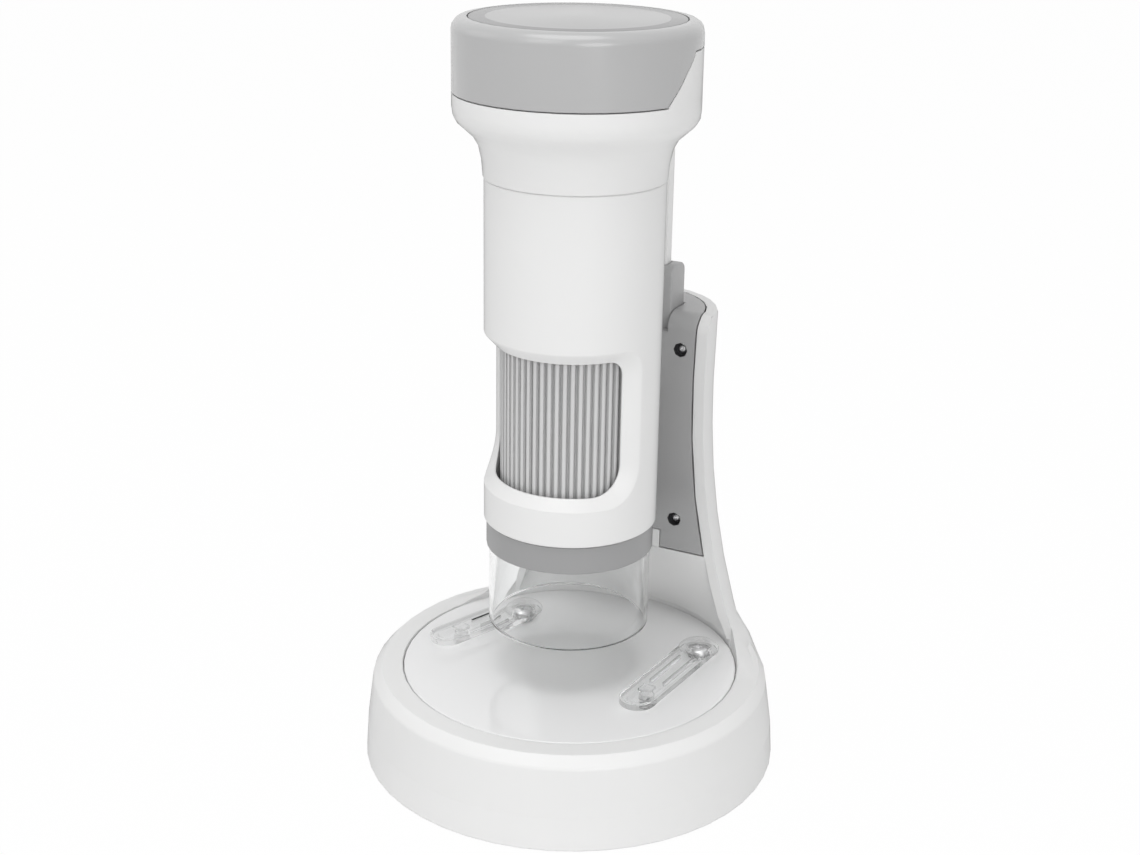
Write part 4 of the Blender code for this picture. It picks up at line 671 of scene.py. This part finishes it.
def add_camera(scene):
    """The camera, where the photograph was taken from."""
    bpy.ops.object.camera_add(location=CAMERA_PLACE)
    camera = bpy.context.object
    camera.name = "photo_camera"
    flat = math.cos(CAMERA_PITCH)
    across, along = math.cos(CAMERA_YAW), math.sin(CAMERA_YAW)
    forward = Vector((-along * flat, across * flat, -math.sin(CAMERA_PITCH)))
    level = Vector((across, along, 0))
    upright = level.cross(forward)
    right = level * math.cos(CAMERA_ROLL) + upright * math.sin(CAMERA_ROLL)
    up = right.cross(forward)
    camera.rotation_euler = Matrix((right, up, -forward)).transposed().to_euler()
    camera.data.sensor_width = SENSOR_WIDTH
    camera.data.lens = CAMERA_LENS
    camera.data.clip_start = NEAREST
    camera.data.clip_end = FARTHEST
    scene.camera = camera


def numbered(stem, count):
    """Names of repeated nodes, counted from 1."""
    return tuple(f"{stem}_{number}" for number in range(1, count + 1))


CLEAR_TINT = (0.985, 0.99, 0.99)


def finish(material, *names):
    """Gives frame nodes a material and smooth shading."""
    for name in names:
        give_material(NODES[name], material)
        soften(NODES[name])


class FINISH_OT_nodes(bpy.types.Operator):
    """Give every part of the frame its finish and smooth shading"""

    bl_idname = "microscope.finish_nodes"
    bl_label = "Frame Finishes"

    def execute(self, context):
        look = finishes()
        # Where given, the outline share paints shade on a material's grazing rims
        white = moulded("white_satin", look.white, 0.42, outline=0.95)
        finish(white, "body_shell", "neck_shell", "base_cover", "power_button", "shutter_button")
        stand = moulded("stand_satin", look.white, 0.42, outline=0.55)
        foot_bands(stand)
        finish(stand, "stand_shell")
        finish(moulded("stage_gloss", look.stage, 0.11, grain=0.2, tone=0.01), "stage_disc")
        finish(moulded("grey_satin", look.grey, 0.40, outline=0.8), "hood_ring", "carriage")
        finish(moulded("panel_satin", look.panel, 0.34, outline=0.8), "column_panel")
        silver = moulded("ring_paint", look.silver, 0.235, tone=0.03, coat=0.3, outline=0.8)
        finish(silver, "head_bezel")
        finish(moulded("wheel_plastic", look.wheel, 0.42), "focus_wheel")
        dark = moulded("dark_plastic", (0.03, 0.03, 0.032), 0.55)
        finish(dark, "guide_tube", "lens_barrel", "inner_frame", "friction_pad", "power_switch")
        finish(dark, "shutter_switch", "display_module", "image_sensor")
        rubber = moulded("foot_rubber", (0.05, 0.05, 0.05), 0.75, grain_scale=5000.0, grain=3.0)
        finish(rubber, *numbered("foot", 4))
        board = moulded("board_mask", (0.02, 0.16, 0.07), 0.35)
        finish(board, "main_board", "sensor_board", "led_board")
        finish(moulded("cell_wrap", (0.62, 0.63, 0.66), 0.3), "battery")
        finish(moulded("ribbon_film", (0.55, 0.30, 0.06), 0.3), "ribbon_cable")
        finish(moulded("lamp_dome", (0.95, 0.95, 0.85), 0.2), *numbered("led", 6))
        screen = moulded("screen_glass", (0.5, 0.5, 0.51), 0.12, grain=0.0, coat=1.0)
        finish(screen, "display_glass")
        hood = clear("clear_acrylic", CLEAR_TINT, 0.03, index=1.16, rim_shade=0.35)
        finish(hood, "clear_hood", "clip_left", "clip_right", "clip_bush_left", "clip_bush_right")
        # The clips' acrylic gets painted shade on its upright faces
        paint_side_shade(clear("clip_acrylic", CLEAR_TINT, 0.03, index=1.09, rim_shade=0.3), (0.72, 0.72, 0.72))
        glass = clear("lens_glass", (0.95, 0.97, 0.98), 0.01, index=1.52)
        finish(glass, "objective_lens", "rear_lens")
        steel = plated("plated_steel", (0.6, 0.6, 0.61), 0.3)
        finish(steel, "ballast_plate", "friction_spring", "cam_pin", "usb_port")
        finish(steel, *numbered("base_screw", 4))
        dark_steel = plated("black_steel", (0.75, 0.75, 0.755), 0.42)
        finish(dark_steel, "clip_screw_left", "clip_screw_right", *numbered("panel_screw", 4))
        plated("clip_steel", (0.80, 0.80, 0.805), 0.32)
        display_material()
        missing = [name for name in NODES if not NODES[name].modifiers]
        if missing:
            raise RuntimeError(f"no finish for {missing}")
        return {"FINISHED"}


RIB_STEPS = 12
WHEEL_CHAMFER = 0.0006
WHEEL_PLAY = 0.0006
CROWN_REACH = 0.0001


class PIECE_OT_wheel(bpy.types.Operator):
    """Add the ribbed focus wheel"""

    bl_idname = "microscope.focus_wheel"
    bl_label = "Focus Wheel"

    def execute(self, context):
        shape = sizes()
        low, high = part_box("focus_wheel")
        crown = (high.x - low.x) / 2
        root = crown - shape.rib_height
        bore = place_of("guide_tube")[1].x + WHEEL_PLAY
        profile = (
            (bore, low.z),
            (root - WHEEL_CHAMFER, low.z),
            (crown, low.z + WHEEL_CHAMFER),
            (crown, high.z - WHEEL_CHAMFER),
            (root - WHEEL_CHAMFER, high.z),
            (bore, high.z),
        )
        facets = shape.rib_count * RIB_STEPS
        wheel = turned("ribbed_wheel", profile, facets, BARREL_CENTRE)
        edit_mode()
        for place in range(RIB_STEPS // 2 + 1):
            rise = rib_rise(2 * place / RIB_STEPS)
            if rise == 1:
                continue
            select_where(wheel, lambda point: rib_place(point, crown, facets) == place)
            share = (root + (crown - root) * rise) / crown
            bpy.ops.transform.resize(value=(share, share, 1), center_override=BARREL_CENTRE)
        object_mode()
        complete(wheel, "wheel_plastic", "focus_wheel", "silver", "focus_wheel")
        return {"FINISHED"}


def rib_place(point, crown, facets):
    """How many facets a point of the wheel's outer face lies from the crown of its rib."""
    flat = Vector((point.x, point.y - AXIS.y))
    if abs(flat.length - crown) > CROWN_REACH:
        return None
    number = round(math.atan2(flat.y, flat.x) / (2 * math.pi / facets)) % RIB_STEPS
    return min(number, RIB_STEPS - number)


def rib_rise(share):
    """How far a rib stands out at a place from its crown, 0, to the middle of the groove, 1."""
    side, groove, sag = 0.56, 0.82, 0.12
    if share <= side:
        return 1 - sag * (share / side) ** 2
    if share >= groove:
        return 0.0
    t = (groove - share) / (groove - side)
    return (1 - sag) * t * t * (3 - 2 * t)


class PIECE_OT_display(bpy.types.Operator):
    """Add the display's cover glass with its printed border"""

    bl_idname = "microscope.display"
    bl_label = "Display Glass"

    def execute(self, context):
        low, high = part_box("display_glass")
        radius = (high.x - low.x) / 2
        profile = rounded(
            (0.0, low.z), (radius, low.z, 0.0001), (radius, high.z, 0.0003), (0.0, high.z)
        )
        glass = turned("cover_glass", profile, SMOOTH_STEPS, BARREL_CENTRE)
        complete(glass, "display_face", "microscope", "screen", "display_glass")
        return {"FINISHED"}


# Radii of the lower and the upper corners of the window and of its bevel
WINDOW_CORNERS = (0.008, 0.004)
CREASE_CORNERS = (0.011, 0.006)
SIDE_STEPS, UP_STEPS, CORNER_STEPS = 96, 56, 24
SKIN_ROWS, BORE_ROWS = 36, 12
# How far the skin dips at the bevel's crease, and the shares of the first rows after it
CREASE_DIP = 0.00006
DIP_SHARE = 0.0008
FIRST_SHARE = 0.006
BEVEL_SHARES = (0.025, 0.5, 0.9)
BARREL_RIM = 0.0003
RAIL_ROUND = 0.0003
RAIL_ROOT = 0.002
# The barrel's rail runs past its seam with the neck's rail, and lies this much over it
RAIL_OVER = 0.0016
RAIL_COVER = 0.00005


class PIECE_OT_barrel(bpy.types.Operator):
    """Add the barrel with its bevelled window and the rail behind it"""

    bl_idname = "microscope.barrel"
    bl_label = "Barrel"

    def execute(self, context):
        shape = sizes()
        low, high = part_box("body_shell")
        radius = (high.x - low.x) / 2
        rows = barrel_rows(radius, low.z, high.z + shape.seam_close)
        count = len(rows[0][1])
        deselect_all()
        bpy.ops.mesh.primitive_grid_add(x_subdivisions=count, y_subdivisions=len(rows), size=1)
        barrel = begin("barrel_shell")
        object_mode()
        bore = radius - shape.barrel_wall
        for index, vert in enumerate(barrel.data.vertices):
            along = index % (count + 1) % count
            r, here, there, share = rows[index // (count + 1) % len(rows)]
            spot = here[along]
            if there is not None:
                spot = spot.lerp(there[along], share)
            if r == bore and spot.y > shape.bore_step:
                r += shape.bore_widening
            vert.co = round_axis(r, spot.x + shape.window_turn, spot.y)
        edit_mode()
        merge_all(MERGE)
        remove_back_wall(barrel, bore)
        object_mode()
        activate(barrel, *rail_blocks(high, radius))
        bpy.ops.object.join()
        complete(barrel, "white_satin", "microscope", "white", "body_shell")
        return {"FINISHED"}


def barrel_rows(radius, low, high):
    """Rows from the window's edge over the bevel, the skin and the bore, and back to the window.

    Each is a radius, an outline, the outline that it moves towards or None, and how far.
    """
    shape = sizes()
    bore = radius - shape.barrel_wall
    land = bore + shape.window_land
    inner = window_outline(
        shape.window_low, shape.window_high, shape.window_angle, bore, WINDOW_CORNERS
    )
    crease = window_outline(
        shape.crease_low, shape.crease_high, shape.crease_angle, radius, CREASE_CORNERS
    )
    rows = [(land, inner, None, 0.0)]
    for share in BEVEL_SHARES:
        middle = [p.lerp(q, share) for p, q in zip(inner, crease)]
        rows.append((land + (radius - land) * share, middle, None, 0.0))
    outward = spread_over(crease, low + BARREL_RIM, high - BARREL_RIM)
    rows.append((radius - CREASE_DIP, crease, outward, DIP_SHARE))
    for step in range(1, SKIN_ROWS + 1):
        rows.append((radius, crease, outward, max((step / SKIN_ROWS) ** 1.6, FIRST_SHARE)))
    rows.append((radius - BARREL_RIM, crease, spread_over(crease, low, high), 1.0))
    inward = spread_over(inner, low, high)
    return rows + [(bore, inner, inward, step / BORE_ROWS) for step in range(BORE_ROWS, -1, -1)]


def rail_blocks(high, radius):
    """The neck and the head of the T-rail, up the back of the barrel and past its seam."""
    shape = sizes()
    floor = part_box("carriage")[0].z + shape.rail_floor
    top = high.z + RAIL_OVER
    head_y = high.y - shape.rail_head_depth
    neck_x = shape.rail_neck_half + RAIL_COVER
    head_x = shape.rail_head_half + RAIL_COVER
    root = AXIS.y + radius - RAIL_ROOT
    ends = (
        ("rail_neck", (-neck_x, root, floor), (neck_x, head_y + RAIL_ROUND, top)),
        ("rail_head", (-head_x, head_y, floor), (head_x, high.y + RAIL_COVER, top)),
    )
    return [rounded_box(name, start, end, RAIL_ROUND, 3) for name, start, end in ends]


def round_axis(radius, azimuth, height):
    """A point round the barrel's axis, its azimuth measured from the front."""
    return radius * math.sin(azimuth), AXIS.y - radius * math.cos(azimuth), height


def window_outline(low, high, half_angle, radius, corners):
    """A rounded outline as (azimuth, height) points, with the lower and upper corners' radii."""
    width = half_angle * radius
    lower, upper = corners
    turns = (
        (width - lower, low + lower, lower, -90),
        (width - upper, high - upper, upper, 0),
        (upper - width, high - upper, upper, 90),
        (lower - width, low + lower, lower, 180),
    )
    points = []
    for number, (x, z, size, start) in enumerate(turns):
        for step in range(CORNER_STEPS + 1):
            points.append(on_circle(x, z, size, start + 90 * step / CORNER_STEPS))
        goal = on_circle(*turns[(number + 1) % 4])
        steps = UP_STEPS if number % 2 == 0 else SIDE_STEPS
        last = points[-1]
        points.extend(last.lerp(goal, step / steps) for step in range(1, steps))
    return [Vector((point.x / radius, point.y)) for point in points]


def on_circle(x, z, size, degrees):
    """A point on a circle about (x, z)."""
    bearing = math.radians(degrees)
    return Vector((x + size * math.cos(bearing), z + size * math.sin(bearing)))


def spread_over(outline, low, high):
    """The same number of points round the whole unrolled barrel, corner to corner."""
    marks = [CORNER_STEPS // 2]
    for steps in (UP_STEPS, SIDE_STEPS, UP_STEPS):
        marks.append(marks[-1] + CORNER_STEPS + steps)
    left, right = -math.pi, math.pi
    corners = [Vector(pair) for pair in ((left, low), (right, low), (right, high), (left, high))]
    result = []
    for index in range(len(outline)):
        number = sum(index > mark for mark in marks) % 4
        before, after = marks[number - 1], marks[number]
        share = ((index - before) % len(outline)) / ((after - before) % len(outline))
        result.append(corners[number].lerp(corners[(number + 1) % 4], share))
    return result


def remove_back_wall(piece, bore):
    """Opens the doubled wall left inside the shell where its two ends meet."""
    turn = sizes().window_turn
    axis = Vector((0, AXIS.y, 0))
    back = Vector((-math.sin(turn), math.cos(turn), 0))
    seam = Vector((math.cos(turn), math.sin(turn), 0))
    bpy.ops.mesh.select_mode(type="FACE")
    bpy.ops.mesh.select_all(action="DESELECT")
    mesh = bmesh.from_edit_mesh(piece.data)
    for face in mesh.faces:
        behind = back.dot(face.calc_center_median() - axis) > bore - 10 * NEAR
        flat = all(abs(seam.dot(vert.co - axis)) < NEAR for vert in face.verts)
        face.select = flat and behind
    bmesh.update_edit_mesh(piece.data)
    bpy.ops.mesh.delete(type="FACE")


# The foot's front: the least reach of its outer loops and of its wall from the middle, how far
# back and how high it is shaped, the depth over which that fades, and how much it leans inwards
RIM_REACH, WALL_REACH = 0.0545, 0.0500
RIM_BACK, FOOT_TOP, FADE_DEPTH = 0.020, 0.0262, 0.015
CHAMFER_SLOPE, WALL_SLOPE = 0.17, 0.022
# The column's upper outer corners, where the small facets of three fillets meet
CORNER_LOW = (0.0230, 0.0290, 0.1160)
CORNER_BACK = 0.0328
CORNER_MERGE = 0.0004


class PIECE_OT_stand(bpy.types.Operator):
    """Add the stand's moulding, its foot with a chamfer, a leaning wall and a skirt"""

    bl_idname = "microscope.stand"
    bl_label = "Stand"

    def execute(self, context):
        node = NODES["stand_shell"]
        stand = bpy.data.objects.new("stand_moulding", node.data.copy())
        context.scene.collection.objects.link(stand)
        stand.matrix_world = node.matrix_world
        activate(stand)
        stand = begin("stand_moulding")
        merge_all(NODE_MERGE)
        side, front, floor = CORNER_LOW
        select_where(stand, lambda p: abs(p.x) > side and front < p.y < CORNER_BACK and p.z > floor)
        bpy.ops.mesh.remove_doubles(threshold=CORNER_MERGE)
        skirt, chamfer = FOOT_BANDS[0][0], FOOT_BANDS[1][0]
        for height in (skirt, chamfer):
            select_all()
            bpy.ops.mesh.bisect(plane_co=(0, 0, height), plane_no=(0, 0, 1))
            select_where(
                stand,
                lambda p: abs(p.z - height) < 2 * NEAR and p.xy.length > RIM_REACH and p.y < RIM_BACK,
            )
            bpy.ops.mesh.mark_sharp()
        for vert in bmesh.from_edit_mesh(stand.data).verts:
            reach = vert.co.xy.length
            if reach < WALL_REACH or vert.co.z > FOOT_TOP:
                continue
            front = min(1.0, max(0.0, (RIM_BACK - vert.co.y) / FADE_DEPTH))
            inward = max(0.0, vert.co.z - chamfer) * CHAMFER_SLOPE
            inward += (chamfer - min(chamfer, max(skirt, vert.co.z))) * WALL_SLOPE
            vert.co.xy *= 1 - inward * front / reach
        bmesh.update_edit_mesh(stand.data)
        object_mode()
        give_material(stand, bpy.data.materials["stand_satin"])
        soften(stand)
        stand.modifiers["keep_edges"].use_edge_sharp = True
        for modifier in list(stand.modifiers):
            bpy.ops.object.modifier_apply(modifier=modifier.name)
        settle(stand, "stand", "white", "stand_shell")
        return {"FINISHED"}


# The gap round the rail and the pad, and how far cutters run past what they cut
GAP = 0.0003
OVERRUN = 0.002
FRONT_ROUND, BACK_ROUND, EDGE_ROUND = 0.0030, 0.0024, 0.0006
SHARP_EDGE = math.radians(50)
PAD_DEPTH = 0.0066


class PIECE_OT_slider(bpy.types.Operator):
    """Add the slider, its upper edges rounded, its groove open round the rail"""

    bl_idname = "microscope.slider"
    bl_label = "Slider"

    def execute(self, context):
        shape = sizes()
        low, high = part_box("carriage")
        slider = block("rounded_slider", low, high)
        select_where(slider, lambda p: p.z > high.z - NEAR and p.y < low.y + NEAR)
        bpy.ops.mesh.bevel(offset=FRONT_ROUND, segments=8)
        select_where(slider, lambda p: p.z > high.z - NEAR and p.y > high.y - NEAR)
        bpy.ops.mesh.bevel(offset=BACK_ROUND, segments=8)
        bpy.ops.mesh.select_mode(type="EDGE")
        bpy.ops.mesh.select_all(action="DESELECT")
        bpy.ops.mesh.edges_select_sharp(sharpness=SHARP_EDGE)
        bpy.ops.mesh.bevel(offset=EDGE_ROUND, segments=3)
        object_mode()
        pad, half = place_of("friction_pad")
        pocket = rod("pad_pocket", half.x + GAP, -high.y - OVERRUN, PAD_DEPTH - high.y)
        pocket.data.transform(facing_front(pad))
        rail_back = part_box("body_shell")[1].y
        lip = rail_back - shape.rail_head_depth
        floor = low.z + shape.rail_floor - GAP
        neck, head = shape.rail_neck_half + GAP, shape.rail_head_half + GAP
        top = high.z + OVERRUN
        groove = (-head, lip - GAP, floor), (head, rail_back + GAP, top)
        mouth = (-neck, low.y - OVERRUN, floor), (neck, lip + OVERRUN / 2, top + OVERRUN)
        for cutter in (rounded_box("groove", *groove), rounded_box("mouth", *mouth), pocket):
            combine(slider, "DIFFERENCE", cutter)
        complete(slider, "panel_satin", "carriage", "grey", "carriage")
        return {"FINISHED"}


def facing_front(place):
    """Turns what was drawn up the Z axis to point forward, in line with a place."""
    return Matrix.Translation((place.x, 0, place.z)) @ Matrix.Rotation(math.pi / 2, 4, "X")


# Radii of the head and the shank
PANEL_SCREW = (0.0012, 0.0008)
# The dark cup round each screw: painted shade standing in for the shadow in its recess
SHADE_CUP_BORE, SHADE_CUP_INSIDE, SHADE_CUP_OUTSIDE = 0.00125, 0.00180, 0.00195
SHADE_CUP_DEPTH, SHADE_CUP_RIM, SHADE_CUP_FLOOR = 0.0011, 0.0009, 0.0003


class PIECE_OT_column_screws(bpy.types.Operator):
    """Add the column's cross-head screws, each deep in a dark cup that paints the shade of its recess
    """

    bl_idname = "microscope.column_screws"
    bl_label = "Column Screws"

    def execute(self, context):
        for number in range(1, 5):
            node = f"panel_screw_{number}"
            low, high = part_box(node)
            turn = facing_front(place_of(node)[0])
            screw = model_screw(f"column_screw_{number}", -high.y, -low.y, *PANEL_SCREW)
            screw.data.transform(turn)
            complete(screw, "black_steel", "stand", "steel", node)
            # A dark cup in each recess, where there is only shade: painted shade
            floor, face = -low.y - SHADE_CUP_DEPTH, -low.y + SHADE_CUP_RIM
            profile = (
                (SHADE_CUP_BORE, floor),
                (SHADE_CUP_OUTSIDE, floor),
                (SHADE_CUP_OUTSIDE, face),
                (SHADE_CUP_INSIDE, face),
                (SHADE_CUP_INSIDE, floor + SHADE_CUP_FLOOR),
                (SHADE_CUP_BORE, floor + SHADE_CUP_FLOOR),
            )
            shade_cup = turned(f"screw_well_{number}", profile)
            shade_cup.data.transform(turn)
            complete(shade_cup, "dark_plastic", "stand", "dark")
        return {"FINISHED"}


STAGE_SCREW = (0.0029, 0.0011)
STAGE_SCREW_SINK = 0.0009


class PIECE_OT_clips(bpy.types.Operator):
    """Add the two clear stage clips"""

    bl_idname = "microscope.clips"
    bl_label = "Stage Clips"

    def execute(self, context):
        shape = sizes()
        for side in ("right", "left"):
            node, screw_node = f"clip_{side}", f"clip_screw_{side}"
            pivot = place_of(screw_node)[0]
            low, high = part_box(node)
            bearing = getattr(shape, f"{side}_clip")
            turn = Matrix.Translation((pivot.x, pivot.y, 0)) @ Matrix.Rotation(bearing, 4, "Z")
            reach = getattr(shape, f"{side}_length")
            clip = model_clip(f"clear_clip_{side}", low.z, high.z, reach)
            clip.data.transform(turn)
            complete(clip, "clip_acrylic", node, "clear", node)
            bottom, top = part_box(screw_node)[0].z, high.z - STAGE_SCREW_SINK
            screw = model_screw(f"stage_screw_{side}", bottom, top, *STAGE_SCREW)
            screw.data.transform(turn)
            complete(screw, "clip_steel", "stand", "steel", screw_node)
        return {"FINISHED"}


PLATE_END_RADIUS = 0.0047
PLATE_DROP = 0.0006
# Each inset's width and rise: the rim's flat and slope, the field's margin and its slope up
PLATE_STEPS = ((0.0006, 0.0), (0.0003, -0.0006), (0.0010, 0.0), (0.0003, 0.0004))
BORE_RADIUS = 0.0034
CUT_PAST = 0.001
SLIT_PLACE, SLIT_HALF = 0.0019, 0.00035
SLIT_START, SLIT_END = 0.0104, 0.0072
BOSS_HALF, BOSS_START, BOSS_END = 0.0018, 0.0031, 0.0069
BOSS_SINK, BOSS_RISE = 0.0004, 0.0006
PEG_PLACE, PEG_TOP, PEG_BOTTOM, PEG_SINK = 0.0050, 0.0018, 0.0022, 0.0002
COLLAR_BORE, COLLAR_FOOT, COLLAR_WIDEST = 0.0032, 0.0052, 0.0056
COLLAR_CROWN, COLLAR_LIP = 0.0050, 0.0036
COLLAR_LIFT, COLLAR_DROP, COLLAR_DIP = 0.0004, 0.0009, 0.0006


def model_clip(name, ground, high, reach):
    """A clip about its screw at the origin, pointing forward: a rimmed plate with a raised
    middle, two slits, a foot and a boss near the tip and a collar round the screw."""
    low = high - sizes().clip_thickness
    plate_top = high - PLATE_DROP
    deselect_all()
    bpy.ops.mesh.primitive_circle_add(
        vertices=64, radius=PLATE_END_RADIUS, fill_type="NGON", location=(0, 0, plate_top)
    )
    clip = begin(name)
    select_where(clip, lambda point: point.y < -NEAR)
    bpy.ops.transform.translate(value=(0, -reach, 0))
    select_all()
    bpy.ops.mesh.extrude_region_move(TRANSFORM_OT_translate={"value": (0, 0, low - plate_top)})
    select_where(clip, lambda point: point.z > plate_top - NEAR)
    for thickness, rise in PLATE_STEPS:
        bpy.ops.mesh.inset(thickness=thickness, depth=0)
        if rise:
            bpy.ops.transform.translate(value=(0, 0, rise))
    object_mode()
    under, over = low - CUT_PAST, high + CUT_PAST
    combine(clip, "DIFFERENCE", rod(f"{name}_bore", BORE_RADIUS, under, over))
    for middle in (-SLIT_PLACE, SLIT_PLACE):
        start = (middle - SLIT_HALF, SLIT_START - reach, under)
        end = (middle + SLIT_HALF, -SLIT_END, over)
        combine(clip, "DIFFERENCE", rounded_box(f"{name}_slit", start, end))
    collar = rounded(
        (COLLAR_BORE, low + COLLAR_LIFT),
        (COLLAR_FOOT, low + COLLAR_LIFT, 0.0003),
        (COLLAR_WIDEST, high - COLLAR_DROP, 0.0004),
        (COLLAR_CROWN, high - DOME_DROP, 0.0004),
        (COLLAR_LIP, high, 0.0003),
        (COLLAR_BORE, high - COLLAR_DIP, 0.0002),
    )
    combine(clip, "UNION", turned(f"{name}_collar", collar))
    start = (-BOSS_HALF, BOSS_START - reach, plate_top - BOSS_SINK)
    end = (BOSS_HALF, BOSS_END - reach, plate_top + BOSS_RISE)
    combine(clip, "UNION", rounded_box(f"{name}_boss", start, end, 0.0004, 2))
    sunk = low + PEG_SINK
    foot = rounded(
        (0, ground), (PEG_BOTTOM, ground, 0.0004), (PEG_TOP, sunk), (0, sunk)
    )
    combine(clip, "UNION", turned(f"{name}_foot", foot, 32, (0, PEG_PLACE - reach, 0)))
    return clip


HEAD_HEIGHT = 0.0012
# Below a screw's top: where its side ends, and its dome at half its radius
HEAD_EDGE, DOME_DROP = 0.0005, 0.0001
SLOT_DEPTH, SLOT_HALF = 0.0009, 0.00028
SLOT_TURN = 0.5


def model_screw(name, low, top, radius, shank):
    """A cross-head screw on the Z axis, its domed head at the top."""
    under = top - HEAD_HEIGHT
    profile = rounded(
        (0, low),
        (shank, low, 0.0002),
        (shank, under),
        (radius, under, 0.0001),
        (radius, top - HEAD_EDGE, 0.0003),
        (radius * 0.5, top - DOME_DROP, 0.0004),
        (0, top),
    )
    screw = turned(name, profile)
    wing = radius * 0.5
    for turn in (0, math.pi / 2):
        start, end = (-wing, -SLOT_HALF, top - SLOT_DEPTH), (wing, SLOT_HALF, top + CUT_PAST)
        slot = rounded_box(f"{name}_slot", start, end)
        slot.data.transform(Matrix.Rotation(turn + SLOT_TURN, 4, "Z"))
        combine(screw, "DIFFERENCE", slot)
    return screw


HOOD_STEP, HOOD_STEP_DROP = 0.0007, 0.0003


class PIECE_OT_hood(bpy.types.Operator):
    """Add the clear hood under the light ring"""

    bl_idname = "microscope.clear_hood"
    bl_label = "Clear Hood"

    def execute(self, context):
        low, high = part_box("clear_hood")
        outer = (high.x - low.x) / 2
        inner = outer - sizes().hood_wall
        step_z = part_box("hood_ring")[0].z - HOOD_STEP_DROP
        profile = rounded(
            (inner, low.z, 0.0004),
            (outer, low.z, 0.0004),
            (outer, step_z),
            (outer - HOOD_STEP, step_z),
            (outer - HOOD_STEP, high.z, 0.0002),
            (inner - HOOD_STEP, high.z, 0.0002),
        )
        hood = turned("hood_clear", profile, SMOOTH_STEPS, BARREL_CENTRE)
        complete(hood, "clear_acrylic", "microscope", "clear", "clear_hood")
        return {"FINISHED"}


OPERATORS = (
    STAGE_OT_studio,
    FINISH_OT_nodes,
    PIECE_OT_barrel,
    PIECE_OT_stand,
    PIECE_OT_slider,
    PIECE_OT_column_screws,
    PIECE_OT_wheel,
    PIECE_OT_display,
    PIECE_OT_hood,
    PIECE_OT_clips,
)


class MICROSCOPE_PT_panel(bpy.types.Panel):
    """Lists the microscope's pieces"""

    bl_idname = "MICROSCOPE_PT_panel"
    bl_label = "Bench Microscope"
    bl_space_type = "VIEW_3D"
    bl_region_type = "UI"
    bl_category = "Microscope"

    def draw(self, context):
        column = self.layout.column()
        for operator in OPERATORS:
            column.operator(operator.bl_idname)
        for settings in (finishes(), sizes()):
            for label in type(settings).__annotations__:
                column.prop(settings, label)


CLASSES = (MicroscopeFinishes, MicroscopeSizes, *OPERATORS, MICROSCOPE_PT_panel)


def register():
    for item in CLASSES:
        bpy.utils.register_class(item)
    bpy.types.Scene.microscope_finishes = PointerProperty(type=MicroscopeFinishes)
    bpy.types.Scene.microscope_sizes = PointerProperty(type=MicroscopeSizes)


def unregister():
    del bpy.types.Scene.microscope_sizes
    del bpy.types.Scene.microscope_finishes
    for item in reversed(CLASSES):
        bpy.utils.unregister_class(item)


def main():
    register()
    for operator in OPERATORS:
        area, name = operator.bl_idname.split(".")
        getattr(getattr(bpy.ops, area), name)()


if __name__ == "__main__":
    main()
